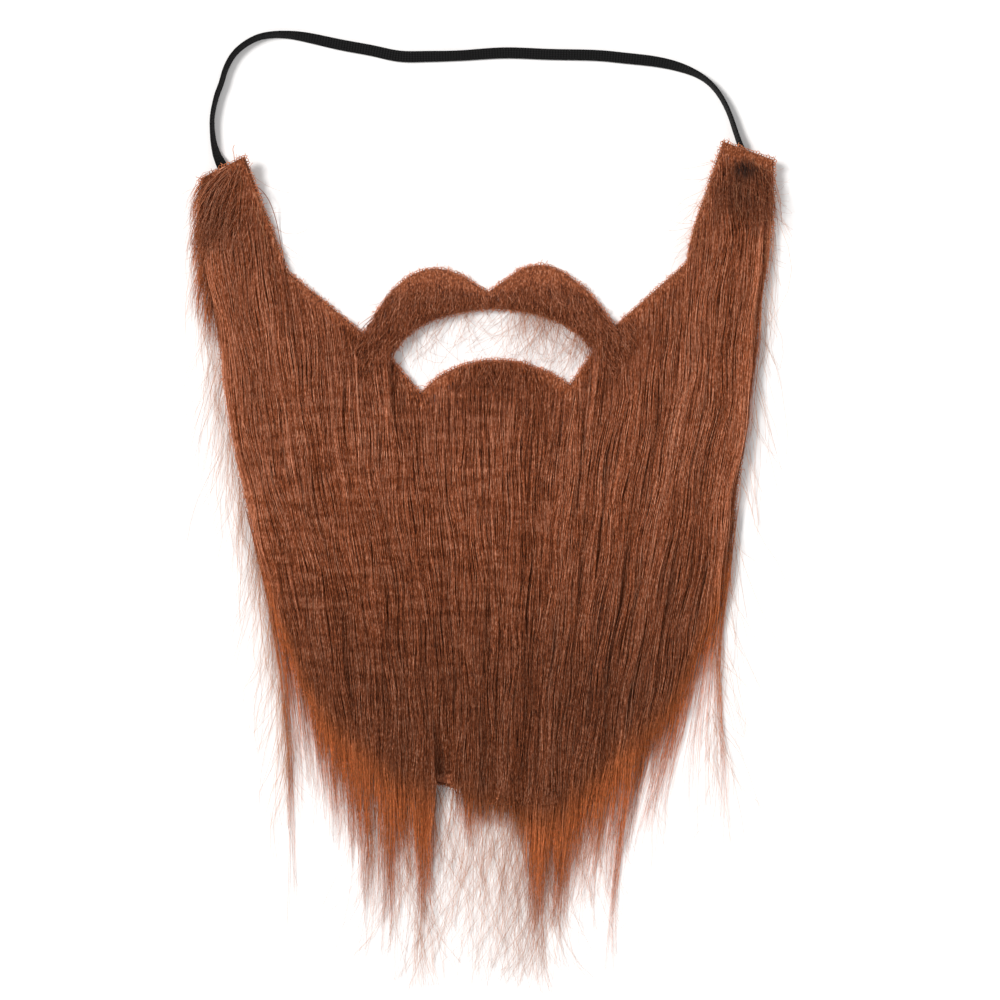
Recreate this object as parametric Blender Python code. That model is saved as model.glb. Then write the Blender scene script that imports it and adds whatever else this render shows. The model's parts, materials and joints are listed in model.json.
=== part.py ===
"""A costume beard cut from long brown fur fabric, with a flat elastic head strap.

The beard lies on its back cloth, hair side up: +Z is up, the sideburn tabs point to +Y and the
tips of the hair to -Y. The middle of its underside is the origin. Lengths are in metres.
"""

import math

import bmesh
import bpy
from mathutils import Vector

# Size of the cut cloth. Heights are measured from the crown of the lower lip.
HALF_WIDTH = 0.1162
SIDEBURN_RISE = 0.0868
CLOTH_DROP = 0.1768
CLOTH_THICKNESS = 0.0012
FACE_OFFSET = 0.0020
MOUSTACHE_HALF_WIDTH = 0.0502
MOUSTACHE_RISE = 0.0380
MOUTH_HALF_WIDTH = 0.0414
MOUTH_RISE = 0.0202
MOUTH_DROP = 0.0132

# The hair.
MAT_THICKNESS = 0.0016
PILE_HEIGHT = 0.0085
MOUSTACHE_HEIGHT = 0.0048
SIDE_THINNING = 0.40
ROOT_LENGTH = 0.045
ROOT_SHARE = 0.38
LOCK_DROP = 0.2380
TIP_LENGTH = 0.052
TIP_HALF_WIDTH = 0.0009
TIP_HEIGHT = 0.0009
LOCK_OVERLAP = 1.55
LOCK_UNEVENNESS = 0.12
UNDERSIDE_DEPTH = 0.0030
MOUSTACHE_LOCKS = 10
MOUSTACHE_FAN = 0.10
EDGE_SETBACK = 0.0006
DIMPLE_LENGTH = 0.0080
DIMPLE_WIDTH = 0.0052
DIMPLE_DEPTH = 0.0026
DIMPLE_FROM_TAB_TOP = 0.0096
DIMPLE_INWARD = 0.0012

# The strap, and the tabs that it holds a little off the surface.
STRAP_WIDTH = 0.0045
STRAP_THICKNESS = 0.0010
STRAP_EDGE = 0.0002
SEAM_GAP = 0.0004
TAB_LIFT_LENGTH = 0.0280
TAB_LIFT_STEPS = 5
SEAM_SHARE = 0.4

# Clearance between neighbouring pieces, and numbers that set how finely curves are cut.
GAP = 0.0003
OUTLINE_STEPS = 6
LOCK_SIDES = 8
LOCK_RINGS = 13
ROUTE_STEPS = 24
WALK_STEP = 0.0005
WELD = 0.00001
CUTTER_MARGIN = 0.1000
CUTTER_HALF_HEIGHT = 0.0400

# Outline of the cloth on the side of the face, from the left tab to the right one.
# Columns: share of HALF_WIDTH, share of SIDEBURN_RISE, corner or smooth.
LEFT_CUT = (
    (-0.976, 0.834, "corner"),
    (-0.824, 0.931, "corner"),
    (-0.790, 0.802, "smooth"),
    (-0.745, 0.641, "smooth"),
    (-0.680, 0.406, "corner"),
)
RIGHT_CUT = (
    (0.694, 0.452, "corner"),
    (0.711, 0.571, "smooth"),
    (0.773, 0.834, "smooth"),
    (0.814, 1.000, "corner"),
    (0.990, 0.917, "corner"),
)

# Top of the moustache, notch to notch.
# Columns: share of MOUSTACHE_HALF_WIDTH, share of MOUSTACHE_RISE, corner or smooth.
MOUSTACHE_TOP = (
    (-1.008, 0.274, "corner"),
    (-0.697, 0.832, "smooth"),
    (-0.402, 0.958, "smooth"),
    (-0.020, 0.716, "corner"),
    (0.386, 1.000, "smooth"),
    (0.705, 0.800, "smooth"),
    (0.992, 0.358, "corner"),
)

# Outer edge and hem, from the right tab round the chin to the left tab.
# Columns: share of HALF_WIDTH, level (1 at the tab tops, 0 at the lip, -1 at the hem), kind.
OUTER_EDGE = (
    (0.986, 0.640, "smooth"),
    (0.945, 0.276, "smooth"),
    (0.905, -0.090, "smooth"),
    (0.745, -0.633, "smooth"),
    (0.504, -0.896, "smooth"),
    (0.239, -1.000, "smooth"),
    (-0.077, -0.968, "smooth"),
    (-0.480, -0.885, "smooth"),
    (-0.680, -0.633, "smooth"),
    (-0.835, -0.271, "smooth"),
    (-0.930, 0.230, "smooth"),
    (-0.985, 0.600, "smooth"),
)

# The mouth opening. A rise is a share of MOUTH_RISE, and a negative one of MOUTH_DROP.
# Columns: share of MOUTH_HALF_WIDTH, rise, kind.
MOUTH = (
    (-0.981, 0.059, "corner"),
    (-0.720, 0.614, "smooth"),
    (-0.256, 0.950, "smooth"),
    (0.240, 0.980, "smooth"),
    (0.671, 0.733, "smooth"),
    (1.019, 0.238, "corner"),
    (0.768, -0.758, "corner"),
    (0.507, -0.303, "smooth"),
    (0.063, 0.000, "smooth"),
    (-0.420, -0.364, "smooth"),
    (-0.681, -1.000, "corner"),
)

# Left and right limit of the combed hair.
# Columns: level (as in OUTER_EDGE), left and right share of HALF_WIDTH.
HAIR_LIMITS = (
    (1.000, -0.966, 0.985),
    (0.600, -1.000, 1.000),
    (0.276, -0.958, 0.962),
    (-0.090, -0.904, 0.938),
    (-0.270, -0.855, 0.886),
    (-0.500, -0.762, 0.838),
    (-0.770, -0.690, 0.770),
    (-0.900, -0.590, 0.660),
    (-1.040, -0.420, 0.520),
    (-1.180, -0.300, 0.360),
)

# Where the long locks end, one row a lock from left to right.
# Columns: share of HALF_WIDTH, share of LOCK_DROP.
LOCK_TIPS = (
    (-0.673, 0.682),
    (-0.632, 0.642),
    (-0.573, 0.686),
    (-0.515, 0.731),
    (-0.460, 0.765),
    (-0.408, 0.824),
    (-0.325, 0.916),
    (-0.277, 0.844),
    (-0.212, 0.992),
    (-0.167, 0.739),
    (-0.081, 0.837),
    (-0.015, 0.798),
    (0.046, 0.824),
    (0.115, 0.861),
    (0.174, 1.000),
    (0.246, 0.933),
    (0.308, 0.844),
    (0.380, 0.824),
    (0.449, 0.861),
    (0.511, 0.748),
    (0.566, 0.723),
    (0.618, 0.701),
    (0.731, 0.612),
    (0.807, 0.590),
)

# Route of the strap from the left tab to the right one, measured from the lip like the cloth.
# Columns: across, up, lean in degrees (0 flat, 90 on its edge), 1 where the tab holds it up.
STRAP_ROUTE = (
    (-0.1002, 0.0676, 0.0, 1.0),
    (-0.1022, 0.0720, 6.0, 1.0),
    (-0.1042, 0.0756, 18.0, 1.0),
    (-0.1060, 0.0792, 36.0, 0.8),
    (-0.1076, 0.0832, 56.0, 0.3),
    (-0.1088, 0.0888, 72.0, 0.0),
    (-0.1091, 0.0968, 78.0, 0.0),
    (-0.1075, 0.1048, 76.0, 0.0),
    (-0.1055, 0.1104, 75.0, 0.0),
    (-0.1038, 0.1160, 74.0, 0.0),
    (-0.1010, 0.1213, 73.0, 0.0),
    (-0.0970, 0.1253, 72.0, 0.0),
    (-0.0914, 0.1285, 70.0, 0.0),
    (-0.0854, 0.1298, 66.0, 0.0),
    (-0.0782, 0.1298, 57.0, 0.0),
    (-0.0702, 0.1286, 40.0, 0.0),
    (-0.0582, 0.1260, 28.0, 0.0),
    (-0.0462, 0.1238, 26.0, 0.0),
    (-0.0342, 0.1214, 18.0, 0.0),
    (-0.0222, 0.1213, 26.0, 0.0),
    (-0.0102, 0.1216, 34.0, 0.0),
    (0.0078, 0.1227, 24.0, 0.0),
    (0.0258, 0.1221, 27.0, 0.0),
    (0.0438, 0.1217, 27.0, 0.0),
    (0.0558, 0.1206, 27.0, 0.0),
    (0.0678, 0.1192, 34.0, 0.0),
    (0.0770, 0.1171, 48.0, 0.0),
    (0.0846, 0.1140, 66.0, 0.0),
    (0.0900, 0.1101, 74.0, 0.0),
    (0.0942, 0.1048, 76.0, 0.0),
    (0.0974, 0.0984, 77.0, 0.0),
    (0.0996, 0.0920, 75.0, 0.1),
    (0.1013, 0.0868, 64.0, 0.7),
    (0.1023, 0.0840, 48.0, 1.0),
    (0.1032, 0.0812, 26.0, 1.0),
    (0.1042, 0.0780, 8.0, 1.0),
    (0.1050, 0.0744, 0.0, 1.0),
)
STRAP_POINTS = 72

COLOURS = {
    "fur_backing": ((0.235, 0.090, 0.042, 1.0), 0.95),
    "fur_pile": ((0.205, 0.066, 0.027, 1.0), 0.60),
    "elastic_strap": ((0.012, 0.012, 0.013, 1.0), 0.80),
}


def clear_scene():
    """Remove what the scene starts with."""
    for item in list(bpy.data.objects):
        bpy.data.objects.remove(item, do_unlink=True)


def new_collection(name):
    """A collection in the scene."""
    collection = bpy.data.collections.new(name)
    bpy.context.scene.collection.children.link(collection)
    return collection


def new_object(name, data, collection):
    """An object for a mesh or a curve."""
    item = bpy.data.objects.new(name, data)
    collection.objects.link(item)
    return item


def set_as_helper(item):
    """Keep a cutter or a guide out of the finished beard."""
    item.hide_render = True
    item.display_type = "WIRE"


def paint(item):
    """Give a piece its own material."""
    colour, roughness = COLOURS[item.name]
    material = bpy.data.materials.new(item.name)
    material.use_nodes = True
    shader = material.node_tree.nodes["Principled BSDF"]
    shader.inputs["Base Color"].default_value = colour
    shader.inputs["Roughness"].default_value = roughness
    shader.inputs["Metallic"].default_value = 0.0
    item.data.materials.clear()
    item.data.materials.append(material)


def smooth_step(value):
    """0 to 1 with level ends."""
    value = min(max(value, 0.0), 1.0)
    return value * value * (3.0 - 2.0 * value)


def level_height(level):
    """Height of a level: 1 at the tab tops, 0 at the lip, -1 at the hem."""
    return level * (SIDEBURN_RISE if level > 0 else CLOTH_DROP)


def height_level(height):
    """Level of a height."""
    return height / (SIDEBURN_RISE if height > 0 else CLOTH_DROP)


def cut_rows(rows):
    """Points of the tabs and cheeks."""
    return [(across * HALF_WIDTH, level_height(level), kind) for across, level, kind in rows]


def moustache_rows():
    """Points of the top of the moustache."""
    return [
        (FACE_OFFSET + across * MOUSTACHE_HALF_WIDTH, rise * MOUSTACHE_RISE, kind)
        for across, rise, kind in MOUSTACHE_TOP
    ]


def mouth_rows():
    """Points of the mouth opening."""
    return [
        (
            FACE_OFFSET + across * MOUTH_HALF_WIDTH,
            rise * (MOUTH_RISE if rise > 0 else MOUTH_DROP),
            kind,
        )
        for across, rise, kind in MOUTH
    ]


def face_side_rows():
    """The cut edge from the left tab over the moustache to the right tab."""
    return cut_rows(LEFT_CUT) + moustache_rows() + cut_rows(RIGHT_CUT)


def cloth_rows():
    """The whole outline of the cloth."""
    return face_side_rows() + cut_rows(OUTER_EDGE)


def hair_room_rows():
    """The cut edge on the side of the face, and open room beyond the outer edge and the hem."""
    side = HALF_WIDTH + CUTTER_MARGIN
    upper = face_side_rows()[0][1]
    lower = -LOCK_DROP - CUTTER_MARGIN
    return face_side_rows() + [
        (side, upper, "corner"),
        (side, lower, "corner"),
        (-side, lower, "corner"),
        (-side, upper, "corner"),
    ]


def floor_rows():
    """A rectangle wider and longer than the hair."""
    side = HALF_WIDTH + CUTTER_MARGIN
    upper = SIDEBURN_RISE + CUTTER_MARGIN
    lower = -LOCK_DROP - CUTTER_MARGIN
    return [
        (-side, upper, "corner"),
        (side, upper, "corner"),
        (side, lower, "corner"),
        (-side, lower, "corner"),
    ]


def flat_curve(name, loops, collection, half_height=0.0, growth=0.0, fill="BOTH"):
    """A flat curve object through loops of points with corner or smooth handles."""
    curve = bpy.data.curves.new(name, "CURVE")
    curve.dimensions = "2D"
    curve.fill_mode = fill
    curve.resolution_u = OUTLINE_STEPS
    curve.render_resolution_u = 0
    curve.extrude = half_height
    curve.offset = growth
    for rows in loops:
        spline = curve.splines.new("BEZIER")
        spline.bezier_points.add(len(rows) - 1)
        spline.use_cyclic_u = True
        for point, (across, up, kind) in zip(spline.bezier_points, rows):
            point.co = (across, up, 0.0)
            handle = "VECTOR" if kind == "corner" else "AUTO"
            point.handle_left_type = handle
            point.handle_right_type = handle
    return new_object(name, curve, collection)


def to_mesh(item, collection):
    """Turn a curve object into a welded mesh object of the same name."""
    bpy.context.view_layer.update()
    graph = bpy.context.evaluated_depsgraph_get()
    mesh = bpy.data.meshes.new_from_object(item.evaluated_get(graph))
    name = item.name
    matrix = item.matrix_world.copy()
    bpy.data.objects.remove(item, do_unlink=True)
    body = bmesh.new()
    body.from_mesh(mesh)
    bmesh.ops.remove_doubles(body, verts=body.verts, dist=WELD)
    bmesh.ops.recalc_face_normals(body, faces=body.faces)
    body.to_mesh(mesh)
    body.free()
    result = new_object(name, mesh, collection)
    result.matrix_world = matrix
    return result


def slab(name, loops, collection, bottom, top, growth=0.0):
    """A flat plate with the outline of the loops, from one height to another."""
    item = flat_curve(name, loops, collection, 0.5 * (top - bottom), growth)
    item = to_mesh(item, collection)
    for vertex in item.data.vertices:
        vertex.co.z += 0.5 * (top + bottom)
    return item


def polygon(rows, collection):
    """The outline as a closed list of points, read from a curve."""
    item = flat_curve("outline_guide", [rows], collection, fill="NONE")
    bpy.context.view_layer.update()
    graph = bpy.context.evaluated_depsgraph_get()
    mesh = bpy.data.meshes.new_from_object(item.evaluated_get(graph))
    points = [(vertex.co.x, vertex.co.y) for vertex in mesh.vertices]
    bpy.data.objects.remove(item, do_unlink=True)
    bpy.data.meshes.remove(mesh)
    return points


def inside(points, across, up):
    """Whether a point lies in a closed outline."""
    result = False
    last_x, last_y = points[-1]
    for x, y in points:
        if (y > up) != (last_y > up):
            if across < x + (up - y) / (last_y - y) * (last_x - x):
                result = not result
        last_x, last_y = x, y
    return result


def hair_limits(height):
    """Left and right limit of the hair at a height, eased from row to row."""
    level = height_level(height)
    rows = HAIR_LIMITS
    if level >= rows[0][0]:
        return rows[0][1] * HALF_WIDTH, rows[0][2] * HALF_WIDTH
    for upper, lower in zip(rows, rows[1:]):
        if level >= lower[0]:
            share = (upper[0] - level) / (upper[0] - lower[0])
            left = upper[1] + (lower[1] - upper[1]) * share
            right = upper[2] + (lower[2] - upper[2]) * share
            return left * HALF_WIDTH, right * HALF_WIDTH
    return rows[-1][1] * HALF_WIDTH, rows[-1][2] * HALF_WIDTH


def unit_lock(collection):
    """A straight tube of radius 1 from 0 to 1 along Z, the start of every lock."""
    curve = bpy.data.curves.new("unit_lock", "CURVE")
    curve.dimensions = "3D"
    curve.bevel_depth = 1.0
    curve.bevel_resolution = LOCK_SIDES // 2 - 2
    curve.render_resolution_u = 0
    curve.use_fill_caps = True
    spline = curve.splines.new("POLY")
    spline.points.add(LOCK_RINGS - 1)
    for index, point in enumerate(spline.points):
        point.co = (0.0, 0.0, index / (LOCK_RINGS - 1), 1.0)
    return to_mesh(new_object("unit_lock", curve, collection), collection)


def tip_taper(length_left):
    """1 along a lock, falling to 0 over its last TIP_LENGTH."""
    share = min(max(length_left / TIP_LENGTH, 0.0), 1.0)
    return math.sin(0.5 * math.pi * share)


def shape_lock(name, source, section, collection):
    """Bend a copy of the unit lock. section(t) gives across, up, height, half width and rise."""
    item = new_object(name, source.data.copy(), collection)
    for vertex in item.data.vertices:
        across, up, middle, half_width, rise = section(vertex.co.z)
        thickness = rise if vertex.co.y > 0 else UNDERSIDE_DEPTH
        vertex.co = (across + half_width * vertex.co.x, up, middle + thickness * vertex.co.y)
    body = bmesh.new()
    body.from_mesh(item.data)
    bmesh.ops.recalc_face_normals(body, faces=body.faces)
    body.to_mesh(item.data)
    body.free()
    set_as_helper(item)
    return item


def unevenness(index):
    """How much one lock is higher than its neighbours."""
    return 1.0 + LOCK_UNEVENNESS * math.sin(2.4 * index)


def long_lock(index, source, cloth, mouth, collection):
    """One lock of the cheeks and chin, combed from the cut edge down to its tip."""
    count = len(LOCK_TIPS)
    margin = 0.5 * LOCK_OVERLAP / count
    share = margin + index * (1.0 - 2.0 * margin) / (count - 1)
    tip_across = LOCK_TIPS[index][0] * HALF_WIDTH
    tip_up = -LOCK_TIPS[index][1] * LOCK_DROP

    def flow(up):
        left, right = hair_limits(up)
        return left + (right - left) * share, (right - left) * margin

    root_up = level_height(-0.5)
    while inside(cloth, flow(root_up)[0], root_up) and not inside(mouth, flow(root_up)[0], root_up):
        root_up += WALK_STEP
    sway = tip_across - flow(tip_up)[0]
    surface = CLOTH_THICKNESS + GAP

    def section(along):
        up = root_up + (tip_up - root_up) * along
        across, half_width = flow(up)
        across += sway * along ** 3
        taper = tip_taper(up - tip_up)
        rooting = ROOT_SHARE + (1.0 - ROOT_SHARE) * smooth_step((root_up - up) / ROOT_LENGTH)
        doming = 1.0 - SIDE_THINNING * abs(2.0 * share - 1.0) ** 2
        rise = PILE_HEIGHT * unevenness(index) * rooting * doming
        return (
            across,
            up,
            surface * taper,
            TIP_HALF_WIDTH + (half_width - TIP_HALF_WIDTH) * taper,
            TIP_HEIGHT + (rise - TIP_HEIGHT) * taper,
        )

    return shape_lock(f"lock_{index + 1:02d}", source, section, collection)


def moustache_lock(index, source, cloth, mouth, collection):
    """One short lock of the moustache, from its top edge to the mouth."""
    spacing = 2.0 * MOUSTACHE_HALF_WIDTH / MOUSTACHE_LOCKS
    offset = (index + 0.5) * spacing - MOUSTACHE_HALF_WIDTH
    end_across = FACE_OFFSET + offset
    start_across = FACE_OFFSET + offset * (1.0 - MOUSTACHE_FAN)
    bottom = MOUTH_RISE
    while inside(mouth, end_across, bottom):
        bottom += WALK_STEP
    top = bottom
    while inside(cloth, start_across, top):
        top += WALK_STEP
    bottom -= 0.5 * MOUTH_RISE
    surface = CLOTH_THICKNESS + GAP
    half_width = 0.5 * LOCK_OVERLAP * spacing

    def section(along):
        up = top + (bottom - top) * along
        across = start_across + (end_across - start_across) * along
        rooting = ROOT_SHARE + (1.0 - ROOT_SHARE) * smooth_step((top - up) / MOUSTACHE_RISE)
        return across, up, surface, half_width, MOUSTACHE_HEIGHT * unevenness(index) * rooting

    return shape_lock(f"moustache_lock_{index + 1:02d}", source, section, collection)


def tab_tops():
    """Height of the left and the right tab's top corner."""
    return LEFT_CUT[1][1] * SIDEBURN_RISE, RIGHT_CUT[3][1] * SIDEBURN_RISE


def lift_levels(top):
    """Heights at which the lift of a tab changes its slope."""
    step = TAB_LIFT_LENGTH / TAB_LIFT_STEPS
    return [top - TAB_LIFT_LENGTH + step * index for index in range(TAB_LIFT_STEPS + 1)]


def full_lift(share):
    """Lift of a tab: room for the sewn strap first, then for the strap on its edge."""
    seam = STRAP_THICKNESS + 2.0 * SEAM_GAP
    return seam * smooth_step(share / SEAM_SHARE) + STRAP_WIDTH * share ** 3


def tab_lift(across, up):
    """How far a tab stands off the surface, in straight steps from level to level."""
    top = tab_tops()[0 if across < 0 else 1]
    share = min(max((up - top + TAB_LIFT_LENGTH) / TAB_LIFT_LENGTH, 0.0), 1.0)
    step = min(int(share * TAB_LIFT_STEPS), TAB_LIFT_STEPS - 1)
    low, high = full_lift(step / TAB_LIFT_STEPS), full_lift((step + 1) / TAB_LIFT_STEPS)
    return low + (high - low) * (share * TAB_LIFT_STEPS - step)


def drop_folds(body):
    """Remove the triangles that merging points has folded flat, which show an open edge."""
    folded = [face for face in body.faces if any(edge.is_boundary for edge in face.edges)]
    while folded:
        bmesh.ops.delete(body, geom=folded, context="FACES")
        folded = [face for face in body.faces if any(edge.is_boundary for edge in face.edges)]


def lift_tabs(item):
    """Raise the ends of both tabs of a piece, and merge its doubled points."""
    body = bmesh.new()
    body.from_mesh(item.data)
    bmesh.ops.remove_doubles(body, verts=body.verts, dist=WELD)
    drop_folds(body)
    for top in tab_tops():
        for level in lift_levels(top)[:-1]:
            bmesh.ops.bisect_plane(
                body,
                geom=body.verts[:] + body.edges[:] + body.faces[:],
                dist=WELD,
                plane_co=(0.0, level, 0.0),
                plane_no=(0.0, 1.0, 0.0),
            )
    bmesh.ops.triangulate(body, faces=body.faces[:])
    for vertex in body.verts:
        vertex.co.z += tab_lift(vertex.co.x, vertex.co.y)
    body.to_mesh(item.data)
    body.free()


def apply_boolean(item, operation, cutter=None, group=None):
    """Join, cut or trim an object with another, or with all objects of a collection.

    The MANIFOLD solver is used because EXACT leaves holes where so many thin locks overlap.
    """
    modifier = item.modifiers.new(operation.lower(), "BOOLEAN")
    modifier.operation = operation
    modifier.solver = "MANIFOLD"
    if group is None:
        modifier.object = cutter
    else:
        modifier.operand_type = "COLLECTION"
        modifier.collection = group
    bpy.context.view_layer.update()
    graph = bpy.context.evaluated_depsgraph_get()
    mesh = bpy.data.meshes.new_from_object(item.evaluated_get(graph))
    item.modifiers.clear()
    item.data = mesh


def make_backing(collection):
    """The cut cloth with its mouth opening."""
    item = slab("fur_backing", [cloth_rows(), mouth_rows()], collection, 0.0, CLOTH_THICKNESS)
    lift_tabs(item)
    return item


def make_dimple(collection):
    """Cutter for the dent that the strap's stitches pull into the hair of the right tab."""
    corner_in, corner_out = cut_rows(RIGHT_CUT[3:])
    across = 0.5 * (corner_in[0] + corner_out[0]) - DIMPLE_INWARD
    up = corner_in[1] - DIMPLE_FROM_TAB_TOP
    surface = CLOTH_THICKNESS + GAP + PILE_HEIGHT * ROOT_SHARE
    mesh = bpy.data.meshes.new("dimple_cutter")
    body = bmesh.new()
    bmesh.ops.create_uvsphere(body, u_segments=12, v_segments=6, radius=0.5)
    for vertex in body.verts:
        vertex.co.x = across + vertex.co.x * DIMPLE_LENGTH
        vertex.co.y = up + vertex.co.y * DIMPLE_WIDTH
        vertex.co.z = surface + vertex.co.z * 2.0 * DIMPLE_DEPTH
    body.to_mesh(mesh)
    body.free()
    item = new_object("dimple_cutter", mesh, collection)
    set_as_helper(item)
    return item


def make_pile(collection, cutters, locks):
    """The hair: a root mat and all locks in one body, trimmed to the cut edges and the floor."""
    cloth = polygon(cloth_rows(), cutters)
    mouth = polygon(mouth_rows(), cutters)
    source = unit_lock(cutters)
    for index in range(len(LOCK_TIPS)):
        long_lock(index, source, cloth, mouth, locks)
    for index in range(MOUSTACHE_LOCKS):
        moustache_lock(index, source, cloth, mouth, locks)
    bpy.data.objects.remove(source, do_unlink=True)

    surface = CLOTH_THICKNESS + GAP
    high = CUTTER_HALF_HEIGHT
    item = slab(
        "fur_pile", [cloth_rows()], collection, 0.5 * CLOTH_THICKNESS, surface + MAT_THICKNESS
    )
    apply_boolean(item, "UNION", group=locks)
    room = slab("hair_room", [hair_room_rows()], cutters, -high, high, -EDGE_SETBACK)
    opening = slab("mouth_cutter", [mouth_rows()], cutters, -high, high, EDGE_SETBACK)
    under = slab("cloth_room", [cloth_rows()], cutters, -high, surface, GAP)
    floor = slab("floor_cutter", [floor_rows()], cutters, -high, 0.0)
    dimple = make_dimple(cutters)
    apply_boolean(item, "INTERSECT", room)
    for cutter in (opening, under, floor, dimple):
        apply_boolean(item, "DIFFERENCE", cutter)
    for helper in (room, opening, under, floor):
        set_as_helper(helper)
    lift_tabs(item)
    return item


def spread(route, count):
    """Points of equal spacing on a smooth curve through the rows of a route."""
    fine = []
    for index in range(len(route) - 1):
        before = route[max(index - 1, 0)]
        start, end = route[index], route[index + 1]
        after = route[min(index + 2, len(route) - 1)]
        for step in range(ROUTE_STEPS):
            t = step / ROUTE_STEPS
            fine.append([
                0.5 * (2.0 * b + (c - a) * t + (2.0 * a - 5.0 * b + 4.0 * c - d) * t * t
                       + (3.0 * b - a - 3.0 * c + d) * t ** 3)
                for a, b, c, d in zip(before, start, end, after)
            ])
    fine.append(list(route[-1]))
    lengths = [0.0]
    for start, end in zip(fine, fine[1:]):
        lengths.append(lengths[-1] + math.hypot(end[0] - start[0], end[1] - start[1]))
    result = []
    place = 0
    for index in range(count):
        wanted = lengths[-1] * index / (count - 1)
        while place < len(fine) - 2 and lengths[place + 1] < wanted:
            place += 1
        share = (wanted - lengths[place]) / (lengths[place + 1] - lengths[place])
        result.append([a + (b - a) * share for a, b in zip(fine[place], fine[place + 1])])
    return result


def strap_rows():
    """The strap's route. Columns: across, up, lean in radians, height of its middle."""
    rows = []
    for across, up, lean, held in spread(STRAP_ROUTE, STRAP_POINTS):
        angle = math.radians(lean)
        lying = 0.5 * (STRAP_WIDTH * math.sin(angle) + STRAP_THICKNESS * math.cos(angle))
        hugging = tab_lift(across, up) - SEAM_GAP - lying
        height = lying + max(hugging - lying, 0.0) * held
        rows.append((across, up, angle, height))
    return rows


def make_strap(collection, cutters):
    """The flat elastic from tab to tab, lying on the surface or standing on its edge."""
    profile = bpy.data.curves.new("strap_profile", "CURVE")
    profile.dimensions = "2D"
    edge = profile.splines.new("POLY")
    edge.use_cyclic_u = True
    wide, thick = 0.5 * STRAP_WIDTH, 0.5 * STRAP_THICKNESS
    face = wide - STRAP_EDGE
    corners = (
        (wide, 0.0), (face, thick), (-face, thick),
        (-wide, 0.0), (-face, -thick), (face, -thick),
    )
    edge.points.add(len(corners) - 1)
    for point, (x, y) in zip(edge.points, corners):
        point.co = (x, y, 0.0, 1.0)
    guide = new_object("strap_profile", profile, cutters)
    set_as_helper(guide)

    curve = bpy.data.curves.new("elastic_strap", "CURVE")
    curve.dimensions = "3D"
    curve.twist_mode = "Z_UP"
    curve.render_resolution_u = 0
    curve.bevel_mode = "OBJECT"
    curve.bevel_object = guide
    curve.use_fill_caps = True
    spline = curve.splines.new("POLY")
    rows = strap_rows()
    spline.points.add(len(rows) - 1)
    for point, (across, up, angle, height) in zip(spline.points, rows):
        point.co = (across, up, height, 1.0)
        point.tilt = angle
    return to_mesh(new_object("elastic_strap", curve, collection), collection)


def set_origin(pieces, measured):
    """Place the pieces so that the middle of the underside of the measured ones is the origin."""
    points = [Vector(vertex.co) for item in measured for vertex in item.data.vertices]
    low = [min(point[axis] for point in points) for axis in range(3)]
    high = [max(point[axis] for point in points) for axis in range(3)]
    for item in pieces:
        item.location = (-0.5 * (low[0] + high[0]), -0.5 * (low[1] + high[1]), -low[2])


def main():
    clear_scene()
    beard = new_collection("costume_beard")
    cutters = new_collection("cutters")
    locks = new_collection("locks")
    backing = make_backing(beard)
    pile = make_pile(beard, cutters, locks)
    strap = make_strap(beard, cutters)
    for item in (backing, pile, strap):
        paint(item)
    set_origin((backing, pile, strap), (backing, pile))


main()
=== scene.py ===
"""The looks of a costume beard: combed brown hair, knitted back cloth and a black elastic strap.

The beard lies on a pale floor with its hair up: +Z is up, the sideburn tabs point to +Y and the
tips of the hair to -Y. Lengths are in metres. The tables measure across and up from the crown
of the lower lip, which lies at LIP in the frame. Strands are worked out together, in arrays with
a row for each strand and a column for each ring.
"""

import json
import math

import bmesh
import bpy
import numpy as np
from bpy.props import FloatProperty, FloatVectorProperty, IntProperty, PointerProperty
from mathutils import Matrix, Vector

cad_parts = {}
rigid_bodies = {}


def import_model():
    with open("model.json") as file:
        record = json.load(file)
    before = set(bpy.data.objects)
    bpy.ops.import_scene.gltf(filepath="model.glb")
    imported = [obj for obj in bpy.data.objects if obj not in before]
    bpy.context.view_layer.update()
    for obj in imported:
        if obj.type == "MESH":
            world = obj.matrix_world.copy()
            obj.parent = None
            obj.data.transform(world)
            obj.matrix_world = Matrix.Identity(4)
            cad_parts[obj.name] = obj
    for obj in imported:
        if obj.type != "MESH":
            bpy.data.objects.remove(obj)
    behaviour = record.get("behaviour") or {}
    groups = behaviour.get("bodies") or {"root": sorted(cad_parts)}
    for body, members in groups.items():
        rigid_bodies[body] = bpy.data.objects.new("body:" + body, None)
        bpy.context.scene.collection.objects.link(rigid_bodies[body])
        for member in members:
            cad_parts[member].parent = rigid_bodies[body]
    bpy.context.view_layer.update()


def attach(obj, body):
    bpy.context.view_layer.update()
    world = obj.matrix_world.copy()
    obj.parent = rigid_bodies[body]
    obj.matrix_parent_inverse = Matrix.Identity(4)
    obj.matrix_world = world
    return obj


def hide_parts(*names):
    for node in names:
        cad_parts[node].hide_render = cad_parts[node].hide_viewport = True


bl_info = {
    "name": "Costume Beard Looks",
    "version": (1, 0, 0),
    "blender": (4, 5, 0),
    "location": "3D View > Sidebar > Beard",
    "description": "Dresses the costume beard with hair, knitted cloth and elastic",
    "category": "Object",
}

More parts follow.
